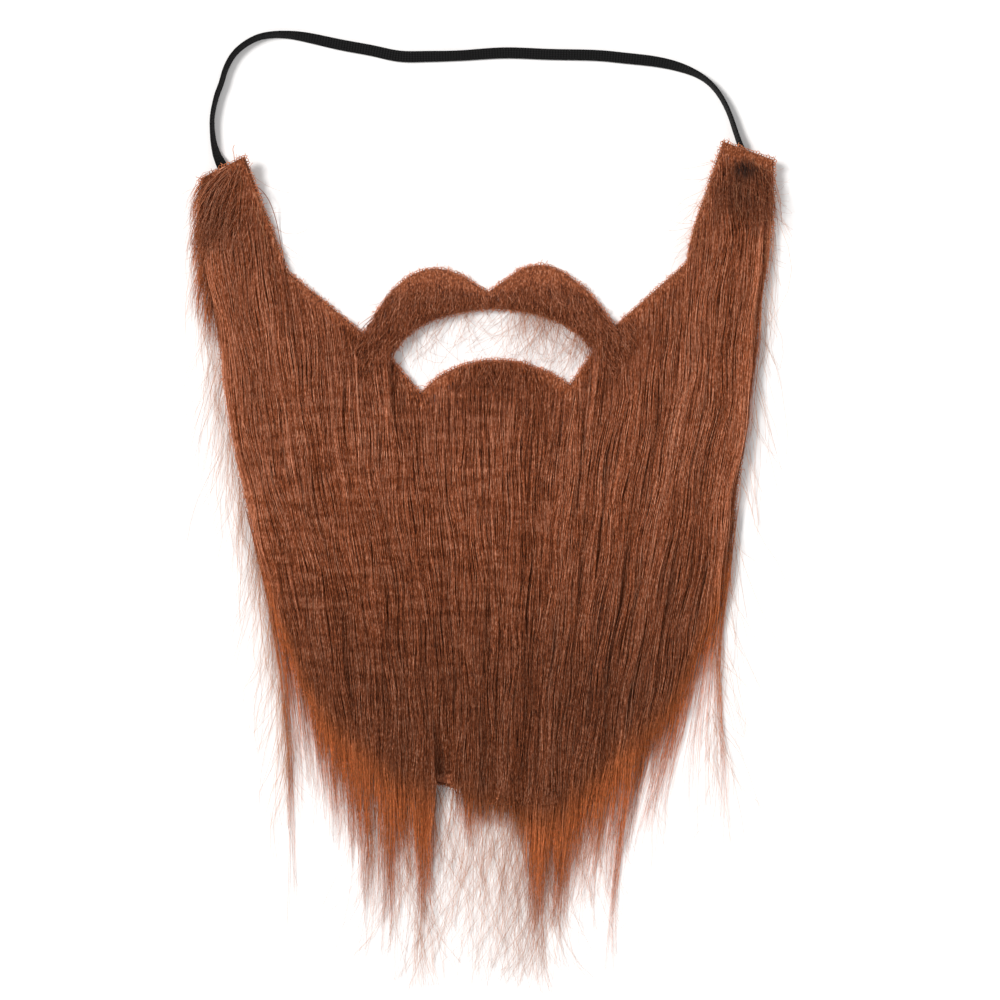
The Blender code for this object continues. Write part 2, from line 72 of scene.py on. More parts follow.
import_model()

LIP = (0.000065, 0.0756, 0.0)
HALF_WIDTH = 0.1162
SIDEBURN_RISE = 0.0868
CLOTH_DROP = 0.1768
CLOTH_THICKNESS = 0.0012
FACE_OFFSET = 0.0020
MOUSTACHE_HALF_WIDTH = 0.0502
PILE_BASE = 0.0015
SIDE_THINNING = 0.40
ROOT_LENGTH = 0.045
ROOT_SHARE = 0.38
LOCK_DROP = 0.2380
LOCK_UNEVENNESS = 0.12
TIP_LENGTH = 0.052
TIP_HEIGHT = 0.0009
TAB_LIFT_LENGTH = 0.0280
TAB_LIFT_STEPS = 5
SEAM_SHARE = 0.4
SEAM_GAP = 0.0004
TAB_TOPS = (0.0808, 0.0868)
DIMPLE = (0.1036, 0.0756)
DIMPLE_SIZE = (0.0054, 0.0040)
# Offset of the painted shadow below the right tab's dent, and its size.
SHADOW_OFFSET = (0.0035, 0.0085)
SHADOW_SIZE = (0.0065, 0.008)
DRIFT = 0.0105
TURN = -0.100
SIDE_LIMIT = 0.1228
LOWEST = -0.2545
WELD = 0.00001
FULL_TURN = 2.0 * math.pi
ANY_PHASE = 6.3

# Left and right limit of the combed hair.
# Columns: level (1 at the tab tops, 0 at the lip, -1 at the hem), shares of HALF_WIDTH.
HAIR_LIMITS = (
    (1.000, -0.966, 0.985),
    (0.600, -1.000, 1.000),
    (0.276, -0.958, 0.962),
    (-0.090, -0.904, 0.938),
    (-0.270, -0.855, 0.886),
    (-0.500, -0.762, 0.838),
    (-0.770, -0.690, 0.770),
    (-0.900, -0.590, 0.660),
    (-1.040, -0.420, 0.520),
    (-1.180, -0.300, 0.360),
)

# The long locks. Columns: share of the hair's width, where the lock ends as shares of HALF_WIDTH
# and LOCK_DROP, and how full it is beyond the hem, 1 for a dense one.
LOCKS = (
    (0.005, -0.673, 0.682, 0.7),
    (0.030, -0.632, 0.642, 0.9),
    (0.065, -0.573, 0.686, 0.9),
    (0.100, -0.515, 0.731, 1.0),
    (0.140, -0.460, 0.765, 1.0),
    (0.180, -0.408, 0.824, 1.0),
    (0.237, -0.325, 0.916, 1.0),
    (0.270, -0.277, 0.844, 1.1),
    (0.318, -0.214, 0.992, 1.25),
    (0.372, -0.150, 0.739, 0.03),
    (0.438, -0.060, 0.837, 0.6),
    (0.482, -0.010, 0.798, 0.6),
    (0.535, 0.046, 0.800, 0.6),
    (0.597, 0.115, 0.830, 0.7),
    (0.660, 0.174, 1.000, 1.15),
    (0.735, 0.246, 0.933, 1.35),
    (0.790, 0.308, 0.844, 1.0),
    (0.836, 0.380, 0.824, 0.9),
    (0.878, 0.449, 0.861, 0.8),
    (0.910, 0.511, 0.748, 0.8),
    (0.935, 0.566, 0.723, 0.8),
    (0.955, 0.618, 0.701, 0.8),
    (0.980, 0.731, 0.612, 0.8),
    (0.998, 0.807, 0.590, 0.7),
)

# Partings that show as dark lines in the combed hair: the strands part and a painted shade
# darkens those beside each gap.
# Columns: share of the hair's width, upper end, lower end, half width of the gap, darkness of the
# painted shade.
PARTINGS = (
    (0.142, -0.030, -0.080, 0.0002, 0.5),
    (0.262, -0.070, -0.120, 0.0002, 0.5),
    (0.455, -0.080, -0.140, 0.0002, 0.5),
    (0.540, -0.020, -0.080, 0.0002, 0.5),
    (0.592, -0.060, -0.130, 0.0003, 0.6),
    (0.641, -0.005, -0.060, 0.0003, 0.7),
    (0.668, -0.085, -0.150, 0.0003, 0.8),
    (0.690, -0.010, -0.070, 0.0003, 0.8),
    (0.715, -0.060, -0.130, 0.0003, 0.9),
    (0.745, -0.025, -0.095, 0.0004, 0.9),
    (0.772, -0.085, -0.158, 0.0004, 1.0),
    (0.806, -0.068, -0.145, 0.0004, 1.0),
    (0.822, 0.000, -0.060, 0.0003, 0.8),
    (0.840, -0.075, -0.125, 0.0003, 0.9),
    (0.858, -0.010, -0.060, 0.0003, 0.8),
    (0.870, -0.100, -0.158, 0.0004, 0.9),
    (0.889, -0.055, -0.105, 0.0003, 0.9),
    (0.904, -0.070, -0.120, 0.0004, 1.0),
    (0.926, -0.015, -0.070, 0.0003, 0.7),
    (0.950, -0.070, -0.110, 0.0003, 0.8),
)

# Route of the strap from the left tab to the right one.
# Columns: across, up, lean in degrees (0 flat, 90 on its edge), 1 where the tab holds it up.
STRAP_ROUTE = (
    (-0.1002, 0.0676, 0.0, 1.0),
    (-0.1022, 0.0720, 6.0, 1.0),
    (-0.1042, 0.0756, 18.0, 1.0),
    (-0.1060, 0.0792, 36.0, 0.8),
    (-0.1076, 0.0832, 56.0, 0.3),
    (-0.1088, 0.0888, 72.0, 0.0),
    (-0.1091, 0.0968, 78.0, 0.0),
    (-0.1075, 0.1048, 76.0, 0.0),
    (-0.1055, 0.1104, 75.0, 0.0),
    (-0.1038, 0.1160, 74.0, 0.0),
    (-0.1010, 0.1213, 73.0, 0.0),
    (-0.0970, 0.1253, 72.0, 0.0),
    (-0.0914, 0.1285, 70.0, 0.0),
    (-0.0854, 0.1298, 66.0, 0.0),
    (-0.0782, 0.1298, 57.0, 0.0),
    (-0.0702, 0.1286, 40.0, 0.0),
    (-0.0582, 0.1260, 28.0, 0.0),
    (-0.0462, 0.1238, 26.0, 0.0),
    (-0.0342, 0.1214, 18.0, 0.0),
    (-0.0222, 0.1213, 26.0, 0.0),
    (-0.0102, 0.1216, 34.0, 0.0),
    (0.0078, 0.1227, 24.0, 0.0),
    (0.0258, 0.1221, 27.0, 0.0),
    (0.0438, 0.1217, 27.0, 0.0),
    (0.0558, 0.1206, 27.0, 0.0),
    (0.0678, 0.1192, 34.0, 0.0),
    (0.0770, 0.1171, 48.0, 0.0),
    (0.0846, 0.1140, 66.0, 0.0),
    (0.0900, 0.1101, 74.0, 0.0),
    (0.0942, 0.1048, 76.0, 0.0),
    (0.0974, 0.0984, 77.0, 0.0),
    (0.0996, 0.0920, 75.0, 0.1),
    (0.1013, 0.0868, 72.0, 0.7),
    (0.1023, 0.0840, 60.0, 1.0),
    (0.1032, 0.0812, 36.0, 1.0),
    (0.1042, 0.0780, 8.0, 1.0),
    (0.1050, 0.0744, 0.0, 1.0),
)

# Finishes of the hair, by the name of their material.
# Columns: strength of the streaks, whose bright specks are partly painted glints, and of the
# crimp bands, a painted sheen; setting with the colour of the tips, partly painted light through
# thin hair.
HAIR_FINISHES = {
    "combed_brown_hair": (1.0, 0.12, "tip"),
    "deep_brown_hair": (1.1, 0.12, "tip"),
    "loose_hair": (0.3, 0.0, "loose"),
    "edge_hair": (0.3, 0.0, "tip"),
}


def a_length(name, description, default, lowest):
    """A length that a user may change."""
    return FloatProperty(name=name, description=description, default=default, min=lowest,
                         unit="LENGTH")


def a_strength(name, description, default):
    """A plain number from 0 up."""
    return FloatProperty(name=name, description=description, default=default, min=0.0)


def an_angle(name, description, degrees):
    """An angle, given in degrees."""
    return FloatProperty(name=name, description=description, default=math.radians(degrees),
                         subtype="ANGLE")


def a_count(name, description, default, lowest=1):
    """A whole number."""
    return IntProperty(name=name, description=description, default=default, min=lowest)


def a_colour(name, description, *rgb):
    """An opaque colour."""
    return FloatVectorProperty(name=name, description=description, subtype="COLOR", size=4,
                               default=(*rgb, 1.0), min=0.0, max=1.0)


class StudioSettings(bpy.types.PropertyGroup):
    """Floor, light and camera."""

    view_width: a_length("View width", "Width of floor that the camera takes in", 0.4, 0.1)
    camera_height: a_length("Camera height", "Height of the camera above the floor", 1.5, 0.3)
    ambient: a_strength("Ambient light", "Brightness of the even white surroundings", 0.66)
    key_power: a_strength("Key light", "Strength of the light from the upper left", 2.9)
    key_height: an_angle("Key height", "Angle of the key light above the floor", 47)
    key_softness: an_angle("Key softness", "Angle that the key light seems to span", 17)


class HairSettings(bpy.types.PropertyGroup):
    """Sizes and colours of the hair."""

    pile_height: a_length(
        "Pile height", "How high the combed hair stands above the cloth", 0.0085, 0.001)
    thickness: a_length(
        "Strand thickness", "Width of one strand, a few hairs together", 0.00028, 0.00005)
    shortest: a_length("Shortest strand", "Length of the shortest combed strands", 0.034, 0.005)
    longest: a_length("Longest strand", "Length of the longest combed strands", 0.080, 0.005)
    body_count: a_count("Body strands", "Strands of the cheeks and chin", 9200)
    root_count: a_count("Root strands", "Shorter strands beside the cut edges", 3300)
    moustache_count: a_count("Moustache strands", "Short strands above the mouth", 3500)
    fringe_count: a_count("Fringe strands", "Strands that end below the hem", 6000)
    wisp_count: a_count("Wisps", "Single long hairs among the tips", 720)
    stray_count: a_count("Stray hairs", "Single hairs that leave the sides", 520)
    # Dark brown and light brown end the ramp of random strand tones: the dark end partly stands
    # for painted shade between the strands, the light end partly for painted highlights.
    dark: a_colour("Dark brown", "Colour between the strands", 0.075, 0.014, 0.003)
    brown: a_colour("Brown", "Colour of most strands", 0.345, 0.084, 0.022)
    light: a_colour("Light brown", "Colour of the brightest strands", 0.680, 0.305, 0.180)
    # The tip colour is partly the hair's own colour and partly painted light: thin hair is
    # painted brighter and more orange for the light that shines through it.
    tip: a_colour("Tip", "Colour where the hair thins out", 0.700, 0.205, 0.060)
    loose: a_colour("Loose hair", "Colour of single hairs off the beard", 0.520, 0.235, 0.110)
    seed: a_count("Seed", "Start of the random numbers", 7, 0)


class ClothSettings(bpy.types.PropertyGroup):
    """The knitted back cloth and its cut edges."""

    colour: a_colour("Cloth", "Colour of the knit", 0.430, 0.160, 0.082)
    stitch: a_length("Stitch width", "Width of one knitted stitch", 0.0011, 0.0002)
    fuzz_count: a_count("Edge fuzz", "Short hairs on the cut edges", 2600)
    loop_spacing: a_length(
        "Loop spacing", "Distance between yarn loops on the cut edges", 0.0011, 0.0003)
    yarn: a_length("Yarn thickness", "Thickness of the knitted yarn", 0.00030, 0.00005)


class StrapSettings(bpy.types.PropertyGroup):
    """The flat elastic."""

    width: a_length("Width", "Width of the elastic", 0.0045, 0.001)
    thickness: a_length("Thickness", "Thickness of the elastic", 0.0010, 0.0003)
    rib: a_length("Rib spacing", "Distance between two cross ribs", 0.0011, 0.0003)
    colour: a_colour("Elastic", "Colour of the elastic", 0.0032, 0.0032, 0.0034)


def smooth(value):
    """0 to 1 with level ends, for numbers or arrays."""
    value = np.clip(value, 0.0, 1.0)
    return value * value * (3.0 - 2.0 * value)


def ripple(values, seed, lowest, highest, terms=7):
    """A smooth random curve over the values, mostly between -1 and 1."""
    rng = np.random.default_rng(seed)
    total = np.zeros(np.shape(values))
    for _ in range(terms):
        rate, phase = rng.uniform(lowest, highest), rng.random()
        total += np.sin(FULL_TURN * (rate * values + phase))
    return total / math.sqrt(terms)


def distances(points):
    """Distance of each point of a row from its start, along the row."""
    steps = np.linalg.norm(np.diff(points, axis=0), axis=1)
    return np.concatenate([[0.0], np.cumsum(steps)])


def between(points, length, wanted):
    """Points of a row at the wanted distances along it."""
    return np.stack([np.interp(wanted, length, column) for column in points.T], axis=1)


def welded(node):
    """The solid of a node as a bmesh, with its triangles joined at their corners."""
    body = bmesh.new()
    body.from_mesh(bpy.data.objects[node].data)
    bmesh.ops.remove_doubles(body, verts=body.verts, dist=WELD)
    body.normal_update()
    return body


def cut_outlines():
    """Outer edge and mouth edge of the cloth, read from its solid, as closed rows of points."""
    body = welded("fur_backing")
    following = {}
    for edge in body.edges:
        heights = sorted(face.normal.z for face in edge.link_faces)
        if len(heights) == 2 and heights[1] > 0.6 and abs(heights[0]) < 0.5:
            first, second = edge.verts
            following.setdefault(first, []).append(second)
            following.setdefault(second, []).append(first)
    loops = []
    while following:
        start = next(iter(following))
        row, here, before = [], start, None
        while here in following:
            row.append((here.co.x - LIP[0], here.co.y - LIP[1], here.co.z))
            ahead = [vertex for vertex in following.pop(here) if vertex is not before]
            before, here = here, next((v for v in ahead if v in following), start)
            if here is start:
                break
        loops.append(np.array(row))
    body.free()
    loops.sort(key=len, reverse=True)
    return loops[0], loops[1]


def inside(outline, across, up):
    """Which of many points lie inside a closed outline."""
    result = np.zeros(np.broadcast(across, up).shape, bool)
    last_x, last_y = outline[-1][:2]
    for x, y in outline[:, :2]:
        if y != last_y:
            beside = across < x + (up - y) / (last_y - y) * (last_x - x)
            result ^= ((y > up) != (last_y > up)) & beside
        last_x, last_y = x, y
    return result


def evenly(outline, spacing):
    """Points at equal steps along a closed outline, with the directions along and out of it."""
    closed = np.vstack([outline, outline[:1]])
    length = distances(closed[:, :2])
    count = int(length[-1] / spacing)
    points = between(closed, length, np.arange(count) * length[-1] / count)
    ahead = np.roll(points, -1, axis=0) - np.roll(points, 1, axis=0)
    ahead = ahead[:, :2] / np.linalg.norm(ahead[:, :2], axis=1, keepdims=True)
    outwards = np.stack([ahead[:, 1], -ahead[:, 0]], axis=1)
    area = np.sum(closed[:-1, 0] * closed[1:, 1] - closed[1:, 0] * closed[:-1, 1])
    return points, ahead * np.sign(area), outwards * np.sign(area)


def smooth_route(route, count, steps=24):
    """Points at equal steps on a smooth curve through the rows of a route."""
    rows = np.array(route)
    ends = np.vstack([rows[:1], rows, rows[-1:]])
    t = (np.arange(steps) / steps)[None, :, None]
    a, b, c, d = (ends[first:len(rows) - 1 + first, None, :] for first in range(4))
    fine = 0.5 * (2.0 * b + (c - a) * t + (2.0 * a - 5.0 * b + 4.0 * c - d) * t ** 2
                  + (3.0 * b - a - 3.0 * c + d) * t ** 3)
    fine = np.vstack([fine.reshape(-1, rows.shape[1]), rows[-1:]])
    length = distances(fine[:, :2])
    return between(fine, length, np.linspace(0.0, length[-1], count))


def hair_limits(up):
    """Left and right limit of the hair at each height."""
    levels = np.where(up > 0, up / SIDEBURN_RISE, up / CLOTH_DROP)
    rows = np.array(HAIR_LIMITS)[::-1]
    left = np.interp(levels, rows[:, 0], rows[:, 1]) * HALF_WIDTH
    right = np.interp(levels, rows[:, 0], rows[:, 2]) * HALF_WIDTH
    return left, right


def full_lift(share):
    """Lift of a tab at a share of its lifted length."""
    seam = 0.0010 + 2.0 * SEAM_GAP
    return seam * smooth(share / SEAM_SHARE) + 0.0045 * share ** 3


def tab_lift(across, up):
    """How far the tabs stand off the floor at each point."""
    top = np.where(np.asarray(across) < 0, TAB_TOPS[0], TAB_TOPS[1])
    share = np.clip((up - top + TAB_LIFT_LENGTH) / TAB_LIFT_LENGTH, 0.0, 1.0)
    step = np.minimum((share * TAB_LIFT_STEPS).astype(int), TAB_LIFT_STEPS - 1)
    low, high = full_lift(step / TAB_LIFT_STEPS), full_lift((step + 1) / TAB_LIFT_STEPS)
    return low + (high - low) * (share * TAB_LIFT_STEPS - step)


class Comb:
    """Where the combed hair runs and how high it stands, by the share of its width."""

    COLUMNS = 481
    STEP = 0.0005
    STEPS = 400
    SLOPE_LENGTH = 0.015

    def __init__(self, cloth, mouth):
        self.cloth, self.mouth = cloth, mouth
        rows = np.array(LOCKS)
        self.share, self.reach = rows[:, 0], rows[:, 1] * HALF_WIDTH
        self.tip, self.fullness = -rows[:, 2] * LOCK_DROP, rows[:, 3]
        self.spacing = np.gradient(self.share)
        self.column = np.linspace(0.0, 1.0, self.COLUMNS)
        self.root = self.walk(0.5, +1)
        self.hem = self.walk(0.5, -1)
        self.edge = self.hem_at(self.share)

    def walk(self, level, direction):
        """Height at which each column of hair leaves the cloth, going up or down."""
        ups = -level * CLOTH_DROP + direction * self.STEP * np.arange(self.STEPS)
        across = self.flow(self.column[:, None], ups)
        outside = ~inside(self.cloth, across, ups) | inside(self.mouth, across, ups)
        first = np.where(outside.any(axis=1), outside.argmax(axis=1), 0)
        return ups[first]

    def root_at(self, share):
        """Height of the cloth's upper edge where the hair of a share starts."""
        return np.interp(share, self.column, self.root)

    def hem_at(self, share):
        """Height of the cloth's lower edge where the hair of a share leaves it."""
        return np.interp(share, self.column, self.hem)

    @staticmethod
    def spread(share, up):
        """Place across between the limits of the hair. The right half drifts to the left."""
        left, right = hair_limits(up)
        bulge = smooth((share - 0.40) / 0.36) * smooth((1.0 - share) / 0.15)
        return left + (right - left) * share - DRIFT * bulge * smooth((0.030 - up) / 0.20)

    def flow(self, share, up):
        """Place across of hair combed down, which below TURN runs on to the ends of the locks."""
        here = self.spread(share, np.maximum(up, TURN))
        above = self.spread(share, TURN + self.SLOPE_LENGTH)
        slope = (self.spread(share, TURN) - above) / self.SLOPE_LENGTH
        drop = TURN - np.interp(share, self.share, self.tip)
        reach = np.interp(share, self.share, self.reach)
        t = np.clip((TURN - up) / drop, 0.0, 1.3)
        return here + slope * drop * t * (1.0 - t) + (reach - here) * t * t

    def lock_of(self, share):
        """Number of the lock that each share of the width belongs to."""
        return np.searchsorted(0.5 * (self.share[1:] + self.share[:-1]), share)

    def run(self, share, up, lock, gather=0.0):
        """Place across of strands. Beyond the hem they gather towards their lock's middle."""
        across = self.flow(share, up)
        middle = self.flow(self.share[lock], up)
        beyond = (self.edge[lock] - up) / (self.edge[lock] - self.tip[lock])
        return across + (middle - across) * gather * smooth(beyond * 0.8)

    def height(self, share, up, lock, pile_height):
        """Height of the top of the combed hair."""
        taper = np.sin(0.5 * math.pi * np.clip((up - self.tip[lock]) / TIP_LENGTH, 0.0, 1.0))
        growing = smooth((self.root_at(share) - up) / ROOT_LENGTH)
        rooting = ROOT_SHARE + (1.0 - ROOT_SHARE) * growing
        doming = 1.0 - SIDE_THINNING * (2.0 * share - 1.0) ** 2
        wave = 1.0 + LOCK_UNEVENNESS * np.sin(2.4 * len(self.share) * share)
        sinking = 0.35 + 0.65 * smooth((up - self.hem_at(share) + 0.010) / 0.022)
        rise = pile_height * wave * rooting * doming * sinking
        return PILE_BASE * taper + TIP_HEIGHT + (rise - TIP_HEIGHT) * taper


def add_piece(name, mesh):
    """A new object of a mesh."""
    piece = bpy.data.objects.new(name, mesh)
    bpy.context.collection.objects.link(piece)
    return piece


def finish_piece(piece, material):
    """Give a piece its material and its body."""
    piece.data.materials.clear()
    piece.data.materials.append(material)
    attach(piece, "root")


def ring(sides, squareness=1.0):
    """A unit section, round or drawn out towards a rounded rectangle."""
    angles = 0.5 * math.pi + FULL_TURN * np.arange(sides) / sides
    points = np.stack([np.cos(angles), np.sin(angles)], axis=1)
    return np.sign(points) * np.abs(points) ** squareness


def along(rings):
    """Shares of a strand's length, a column for each ring."""
    return np.linspace(0.0, 1.0, rings)[None, :]


def pointed(t, start, loss):
    """Thickness along a strand that thins from a share of its length on."""
    return 1.0 - loss * smooth((t - start) / (1.0 - start))


def path_points(across, up, height):
    """Points by strand and ring."""
    return np.stack(np.broadcast_arrays(across, up, height), axis=2)


def tubes(name, paths, half, looks, material, section=ring(3), half_height=None,
          lean=None):
    """A finished piece of many closed tubes.

    paths holds points by tube and ring, half and half_height half sizes, and lean how far each
    ring turns about its path. looks are three numbers that the mesh keeps in its attribute
    "strand", each the same all over, by tube and ring, or by tube, ring and corner.
    """
    count, rings = paths.shape[:2]
    sides = len(section)
    ahead = np.gradient(paths, axis=1)
    ahead /= np.linalg.norm(ahead, axis=2, keepdims=True) + 1e-12
    side = np.cross(ahead, np.array([0.0, 0.0, 1.0]) + 1e-4)
    side /= np.linalg.norm(side, axis=2, keepdims=True) + 1e-12
    over = np.cross(side, ahead)
    if lean is not None:
        turn = lean[..., None]
        side, over = (side * np.cos(turn) - over * np.sin(turn),
                      side * np.sin(turn) + over * np.cos(turn))
    high = half if half_height is None else half_height
    side = (side * np.asarray(half)[..., None])[:, :, None, :] * section[:, 0, None]
    over = (over * np.asarray(high)[..., None])[:, :, None, :] * section[:, 1, None]
    points = (paths[:, :, None, :] + side + over).reshape(-1, 3) + np.array(LIP)

    corner = np.arange(sides)
    following = (corner + 1) % sides
    first = (np.arange(count)[:, None] * rings + np.arange(rings - 1)[None, :]) * sides
    first = first.reshape(-1, 1)
    quads = np.stack([first + corner, first + sides + corner,
                      first + sides + following, first + following], axis=2).reshape(-1, 4)
    start = np.arange(count)[:, None] * rings * sides
    caps = np.concatenate([start + corner, start + (rings - 1) * sides + corner[::-1]])

    mesh = bpy.data.meshes.new(name)
    mesh.vertices.add(len(points))
    mesh.vertices.foreach_set("co", points.astype(np.float32).ravel())
    corners = np.concatenate([quads.ravel(), caps.ravel()]).astype(np.int32)
    mesh.loops.add(len(corners))
    mesh.loops.foreach_set("vertex_index", corners)
    starts = np.concatenate([
        np.arange(len(quads)) * 4, quads.size + np.arange(len(caps)) * sides])
    mesh.polygons.add(len(starts))
    mesh.polygons.foreach_set("loop_start", starts.astype(np.int32))
    mesh.update(calc_edges=True)
    mesh.shade_smooth()
    colours = np.ones((count, rings, sides, 4), np.float32)
    for channel, look in enumerate(looks):
        colours[..., channel] = look[..., None] if np.ndim(look) == 2 else look
    layer = mesh.attributes.new("strand", "FLOAT_COLOR", "POINT")
    layer.data.foreach_set("color", colours.ravel())
    piece = add_piece(name, mesh)
    finish_piece(piece, material)
    return piece


def add_node(tree, kind, place, inputs=None, **settings):
    """A shader node with its settings. An input is given a value, or a socket to link to."""
    node = tree.nodes.new(kind)
    node.location = place
    for key, value in settings.items():
        setattr(node, key, value)
    for key, value in (inputs or {}).items():
        if isinstance(value, bpy.types.NodeSocket):
            tree.links.new(value, node.inputs[key])
        else:
            node.inputs[key].default_value = value
    return node


def math_node(tree, place, operation, *values):
    """Result of a Math node on values or sockets."""
    node = add_node(tree, "ShaderNodeMath", place, dict(enumerate(values)), operation=operation)
    return node.outputs[0]


def map_range(tree, place, value, old, new):
    """A value moved from its old range to a new one."""
    return add_node(tree, "ShaderNodeMapRange", place, {
        "Value": value, "From Min": old[0], "From Max": old[1],
        "To Min": new[0], "To Max": new[1]}).outputs[0]


def mix_colours(tree, place, blend, factor, first, second):
    """Two colours mixed or multiplied."""
    return add_node(tree, "ShaderNodeMix", place, {"Factor": factor, "A": first, "B": second},
                    data_type="RGBA", blend_type=blend).outputs["Result"]


def colour_ramp(tree, place, value, low, high, middle=None):
    """A colour for each value from 0 to 1, by way of a middle place and its colour."""
    node = add_node(tree, "ShaderNodeValToRGB", place, {0: value})
    stops = node.color_ramp.elements
    stops[0].color, stops[1].color = low, high
    if middle:
        stops.new(middle[0]).color = middle[1]
    return node.outputs["Color"]


def add_bump(tree, shader, place, height, strength, distance):
    """Low relief on a shader."""
    bump = add_node(tree, "ShaderNodeBump", place,
                    {"Height": height, "Strength": strength, "Distance": distance})
    tree.links.new(bump.outputs[0], shader.inputs["Normal"])


def strand_numbers(tree, x):
    """Sockets with the three numbers that a piece of tubes keeps."""
    strand = add_node(tree, "ShaderNodeAttribute", (x, 200), attribute_name="strand")
    return add_node(tree, "ShaderNodeSeparateColor", (x + 200, 200),
                    {0: strand.outputs["Color"]}).outputs


def new_group(name, inputs, outputs):
    """A shader node group. Inputs are numbers, or vectors where there is no default."""
    tree = bpy.data.node_groups.new(name, "ShaderNodeTree")
    for socket, default in inputs.items():
        kind = "NodeSocketVector" if default is None else "NodeSocketFloat"
        made = tree.interface.new_socket(socket, in_out="INPUT", socket_type=kind)
        if default is not None:
            made.default_value = default
    for socket in outputs:
        tree.interface.new_socket(socket, in_out="OUTPUT", socket_type="NodeSocketFloat")
    return tree, add_node(tree, "NodeGroupInput", (-900, 0)).outputs


def streaks_group():
    """Streaks along the hair and short bright specks, partly painted glints: a shade around 0 and
    a height.
    """
    name = "Hair streaks"
    if name in bpy.data.node_groups:
        return bpy.data.node_groups[name]
    tree, given = new_group(
        name, {"Vector": None, "Fineness": 1400.0, "Stretch": 0.03, "Strength": 1.0},
        ("Shade", "Height"))
    stretch = add_node(tree, "ShaderNodeCombineXYZ", (-700, -120),
                       {"X": 1.0, "Y": given["Stretch"], "Z": 1.0})
    long = add_node(tree, "ShaderNodeVectorMath", (-520, 0),
                    {0: given["Vector"], 1: stretch.outputs[0]}, operation="MULTIPLY")
    noise = add_node(tree, "ShaderNodeTexNoise", (-320, 0), {
        "Vector": long.outputs[0], "Scale": given["Fineness"],
        "Detail": 3.0, "Roughness": 0.6}).outputs[0]
    short = add_node(tree, "ShaderNodeMapping", (-520, -260),
                     {"Vector": given["Vector"], "Scale": (0.6, 0.3, 0.6)})
    specks = add_node(tree, "ShaderNodeTexNoise", (-320, -260), {
        "Vector": short.outputs[0], "Scale": given["Fineness"],
        "Detail": 1.0, "Roughness": 0.7}).outputs[0]
    # The bright specks are partly pale frizz and partly painted glints.
    bright = map_range(tree, (-140, -260), specks, (0.40, 0.68), (-0.14, 0.36))
    centred = math_node(tree, (-140, 60), "SUBTRACT", noise, 0.5)
    both = math_node(tree, (-20, -60), "ADD", centred, bright)
    shade = math_node(tree, (80, 60), "MULTIPLY", both, given["Strength"])
    add_node(tree, "NodeGroupOutput", (700, 0), {"Shade": shade, "Height": noise})
    return tree


def crimp_sheen_group():
    """Faint bands across the hair where it was pressed, on the left and in the middle: painted
    sheen and shade on the crimped waves.
    """
    name = "Crimp bands"
    if name in bpy.data.node_groups:
        return bpy.data.node_groups[name]
    tree, given = new_group(name, {"Vector": None, "Strength": 1.0}, ("Shade",))
    stretched = add_node(tree, "ShaderNodeMapping", (-700, 80),
                         {"Vector": given["Vector"], "Scale": (70.0, 300.0, 0.0)})
    noise = add_node(tree, "ShaderNodeTexNoise", (-500, 80), {
        "Vector": stretched.outputs[0], "Scale": 1.0, "Detail": 2.0, "Roughness": 0.5,
        "Distortion": 0.35})
    sharper = map_range(tree, (-300, 80), noise.outputs[0], (0.36, 0.66), (-1.0, 1.0))
    pressed = add_node(tree, "ShaderNodeMapping", (-700, -220), {
        "Vector": given["Vector"], "Location": (0.34, -0.10, 0.0), "Scale": (9.5, 9.0, 0.0)})
    area = add_node(tree, "ShaderNodeTexGradient", (-500, -220), {"Vector": pressed.outputs[0]},
                    gradient_type="QUADRATIC_SPHERE")
    wide = map_range(tree, (-300, -220), area.outputs[1], (0.0, 0.25), (0.12, 1.0))
    placed = math_node(tree, (-80, 0), "MULTIPLY", sharper, wide)
    shade = math_node(tree, (120, 0), "MULTIPLY", placed, given["Strength"])
    add_node(tree, "NodeGroupOutput", (700, 0), {"Shade": shade})
    return tree


def knit_group():
    """Rows of knitted stitches: a height from two slanted waves."""
    name = "Knit"
    if name in bpy.data.node_groups:
        return bpy.data.node_groups[name]
    tree, given = new_group(name, {"Vector": None, "Stitch": 0.0011}, ("Height",))
    rate = math_node(tree, (-740, -160), "DIVIDE", 1.0, given["Stitch"])
    scaled = add_node(tree, "ShaderNodeVectorMath", (-560, 0),
                      {0: given["Vector"], "Scale": rate}, operation="SCALE")
    parts = add_node(tree, "ShaderNodeSeparateXYZ", (-400, 0), {0: scaled.outputs[0]}).outputs
    column = math_node(tree, (-240, 120), "PINGPONG", parts["X"], 0.5)
    slanted = math_node(tree, (-80, 0), "MULTIPLY_ADD", column, 1.3, parts["Y"])
    row = math_node(tree, (80, 0), "MULTIPLY", slanted, FULL_TURN)
    wave = math_node(tree, (230, 0), "SINE", row)
    valley = map_range(tree, (-80, 220), column, (0.0, 0.16), (0.0, 1.0))
    lifted = math_node(tree, (380, 60), "MULTIPLY_ADD", wave, 0.5, 0.5)
    height = math_node(tree, (530, 60), "MULTIPLY", lifted, valley)
    add_node(tree, "NodeGroupOutput", (700, 0), {"Height": height})
    return tree


def new_material(name, roughness, specular):
    """A material with a plain shader, its tree and the shader node."""
    material = bpy.data.materials.new(name)
    material.use_nodes = True
    tree = material.node_tree
    shader = tree.nodes["Principled BSDF"]
    shader.inputs["Roughness"].default_value = roughness
    shader.inputs["Specular IOR Level"].default_value = specular
    return material, tree, shader


